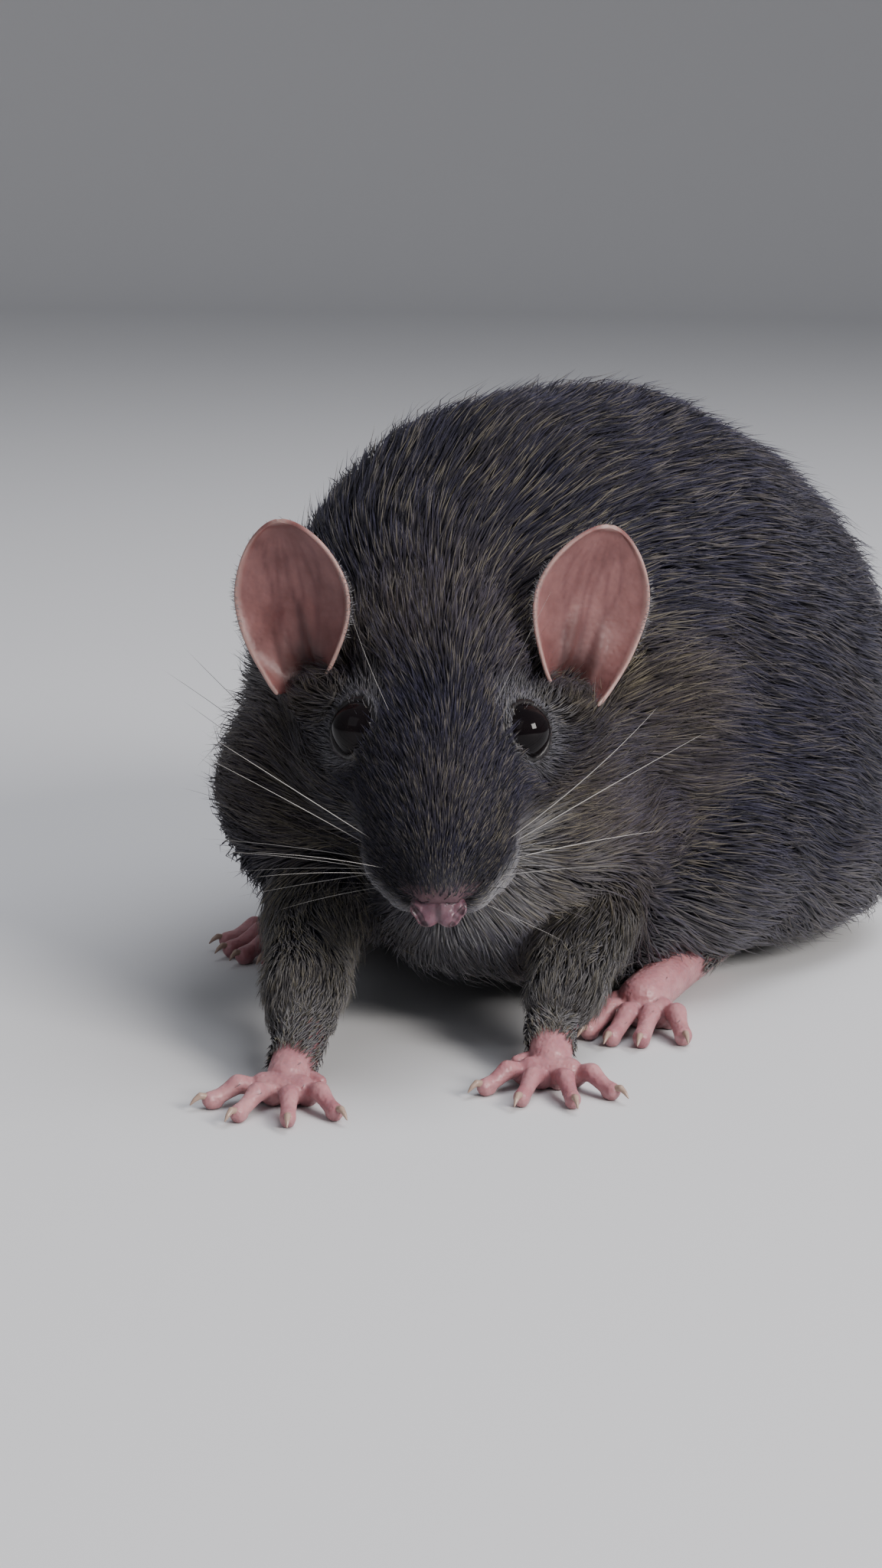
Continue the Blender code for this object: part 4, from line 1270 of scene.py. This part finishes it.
def make_whiskers(skin, material):
    """Rows of whiskers on both pads, and a few over the eyes."""
    rng = np.random.default_rng(SEED + 9)
    tree = BVHTree.FromObject(skin, bpy.context.evaluated_depsgraph_get())
    paths, widths = [], []
    for _side, sign in SIDES:
        for row in range(5):
            for place in range(5):
                back = 4.6 + 2.2 * place + 0.6 * (row % 2) + rng.uniform(-0.3, 0.3)
                start = head_point(back, 1.2 * sign, -1.2 - 1.15 * row)
                root = tree.ray_cast(start, (HEAD_AXES @ Vector((0.0, sign, -0.06 * row))).normalized())[0]
                if root is None:
                    continue
                length = (8 + 7.0 * place + rng.uniform(-2.5, 3)) * MM
                behind = -0.25 + 0.27 * place + rng.normal(0, 0.08)
                reach = (behind, sign, 0.42 - 0.26 * row + rng.normal(0, 0.08))
                paths.append(whisker_path(root, reach, length, 0.32, rng))
                widths.append(0.08 + 0.027 * place)
        for k in range(3):
            root = tree.find_nearest(head_point(23.0 + 1.2 * k, 7.0 * sign, 8.0))[0]
            paths.append(whisker_path(root, (0.35 + 0.2 * k, 0.55 * sign, 1.0), (13 + 3 * k) * MM, 0.2, rng))
            widths.append(0.09)
    count = len(paths)
    data = np.stack([rng.random(count), np.zeros(count), np.zeros(count)], 1)
    ups = np.tile(np.array((0.1, 0.2, 1.0)), (count, 1))
    faces, corners = skin.data.polygons, skin.data.uv_layers.active.data
    uvs = np.array([corners[faces[tree.find_nearest(path[0])[2]].loop_start].uv for path in paths])
    give(strand_mesh("whiskers", np.array(paths), np.array(widths) * MM, data, uvs, ups), "coat", material)


def whisker_path(root, reach, length, droop, rng):
    """A whisker's line: out from its root, bending down and back."""
    reach = (HEAD_AXES @ Vector(reach)).normalized()
    bend = Vector((0, 0, -droop)) - FORWARD * 0.28 + Vector(rng.normal(0, 0.07, 3))
    path = []
    for k in range(11):
        share = k / 10
        spot = root + reach * length * (share - 0.03) + bend * length * share * share * 0.6
        spot.z = max(spot.z, 1.0 * MM)
        path.append(spot)
    return path


# Stage, lights and camera

CAMERA_MM = (200.85, -364.4, 110.0)
VIEW_TURN = math.radians(33.0)
VIEW_PITCH = math.radians(12.2)
VIEW_ROLL = math.radians(0.8)
SENSOR_MM = 36.0
FOCAL_PX = 3640.0
PHOTO_HEIGHT_PX = 2048
FLOOR_RADIUS = 2.0
BEND_RADIUS = 0.6
WALL_HEIGHT = 1.0


def set_camera():
    camera = link("camera", bpy.data.cameras.new("camera"))
    turn = Matrix.Rotation(VIEW_TURN, 4, "Z") @ Matrix.Rotation(math.pi / 2 - VIEW_PITCH, 4, "X")
    place = Matrix.Translation(plan_point(*CAMERA_MM))
    camera.matrix_world = place @ turn @ Matrix.Rotation(VIEW_ROLL, 4, "Z")
    camera.data.sensor_fit = "VERTICAL"
    camera.data.sensor_height = SENSOR_MM
    camera.data.lens = FOCAL_PX / PHOTO_HEIGHT_PX * SENSOR_MM
    camera.data.clip_start = 0.01
    bpy.context.scene.camera = camera


def area_light(name, azimuth, elevation, distance, size, power, colour, mirrored=True):
    """A soft light aimed at the rat; azimuth 0 is where its nose points along -Y."""
    a, e = math.radians(azimuth), math.radians(elevation)
    way = Vector((math.sin(a) * math.cos(e), -math.cos(a) * math.cos(e), math.sin(e)))
    data = bpy.data.lights.new(name, "AREA")
    data.size = size
    data.energy = power
    data.color = colour
    lamp = link(name, data)
    lamp.visible_glossy = mirrored
    aim = plan_point(5, -50, 35)
    turn = way.to_track_quat("Z", "Y").to_matrix().to_4x4()
    lamp.matrix_world = Matrix.Translation(aim + way * distance) @ turn


def set_stage():
    profile = [(0.0, 0.0), (FLOOR_RADIUS, 0.0)]
    for step in range(1, 13):
        turn = math.pi / 2 * step / 12
        profile.append((FLOOR_RADIUS + BEND_RADIUS * math.sin(turn), BEND_RADIUS * (1 - math.cos(turn))))
    profile.append((FLOOR_RADIUS + BEND_RADIUS, WALL_HEIGHT))
    form = bmesh.new()
    ring = [form.verts.new((x, 0.0, z - 0.0001)) for x, z in profile]
    edges = [form.edges.new(pair) for pair in zip(ring, ring[1:])]
    bmesh.ops.spin(form, geom=ring + edges, cent=(0, 0, 0), axis=(0, 0, 1), angle=2 * math.pi, steps=96)
    bmesh.ops.remove_doubles(form, verts=form.verts, dist=1e-5)
    bmesh.ops.recalc_face_normals(form, faces=form.faces)
    floor = object_of("floor", form)
    floor.data.shade_smooth()
    floor.data.materials.append(Paint("floor_paint", {"Roughness": 0.75}).coloured((0.62, 0.62, 0.63)))
    world = bpy.data.worlds.new("studio")
    bpy.context.scene.world = world
    world.use_nodes = True
    world.node_tree.nodes["Background"].inputs[0].default_value = (0.80, 0.82, 0.88, 1.0)
    world.node_tree.nodes["Background"].inputs[1].default_value = 0.30
    area_light("key", 80, 28, 1.0, 0.34, 12.0, (1.0, 0.96, 0.925))
    area_light("top", 135, 66, 1.0, 0.8, 10.0, (0.94, 0.95, 1.0), mirrored=False)
    area_light("fill", 5, 40, 1.2, 0.8, 1.0, (0.94, 0.95, 1.0))


def main():
    set_camera()
    set_stage()
    fur = coat_material()
    skin = make_skin()
    give(skin, "coat", skin_material(), *FLESH)
    grow_coat(skin, fur)
    gloss = eye_material()
    bare = {name: bare_skin_material(name, *values) for name, values in BARE_SKINS.items()}
    for side, sign in SIDES:
        make_eye(side, sign, gloss)
        make_lids(side, sign, bare["lid_skin"])
    make_nose(bare["nose_skin"])
    for side, sign in SIDES:
        make_ear(side, sign, bare["ear_skin"], fur)
    horn = horn_material()
    for side, sign in SIDES:
        make_forepaw(side, sign, bare["paw_skin"], horn, fur)
        make_hindpaw(side, bare["paw_skin"], horn, fur)
    make_tail(bare["tail_skin"], fur)
    make_whiskers(skin, whisker_material())


main()
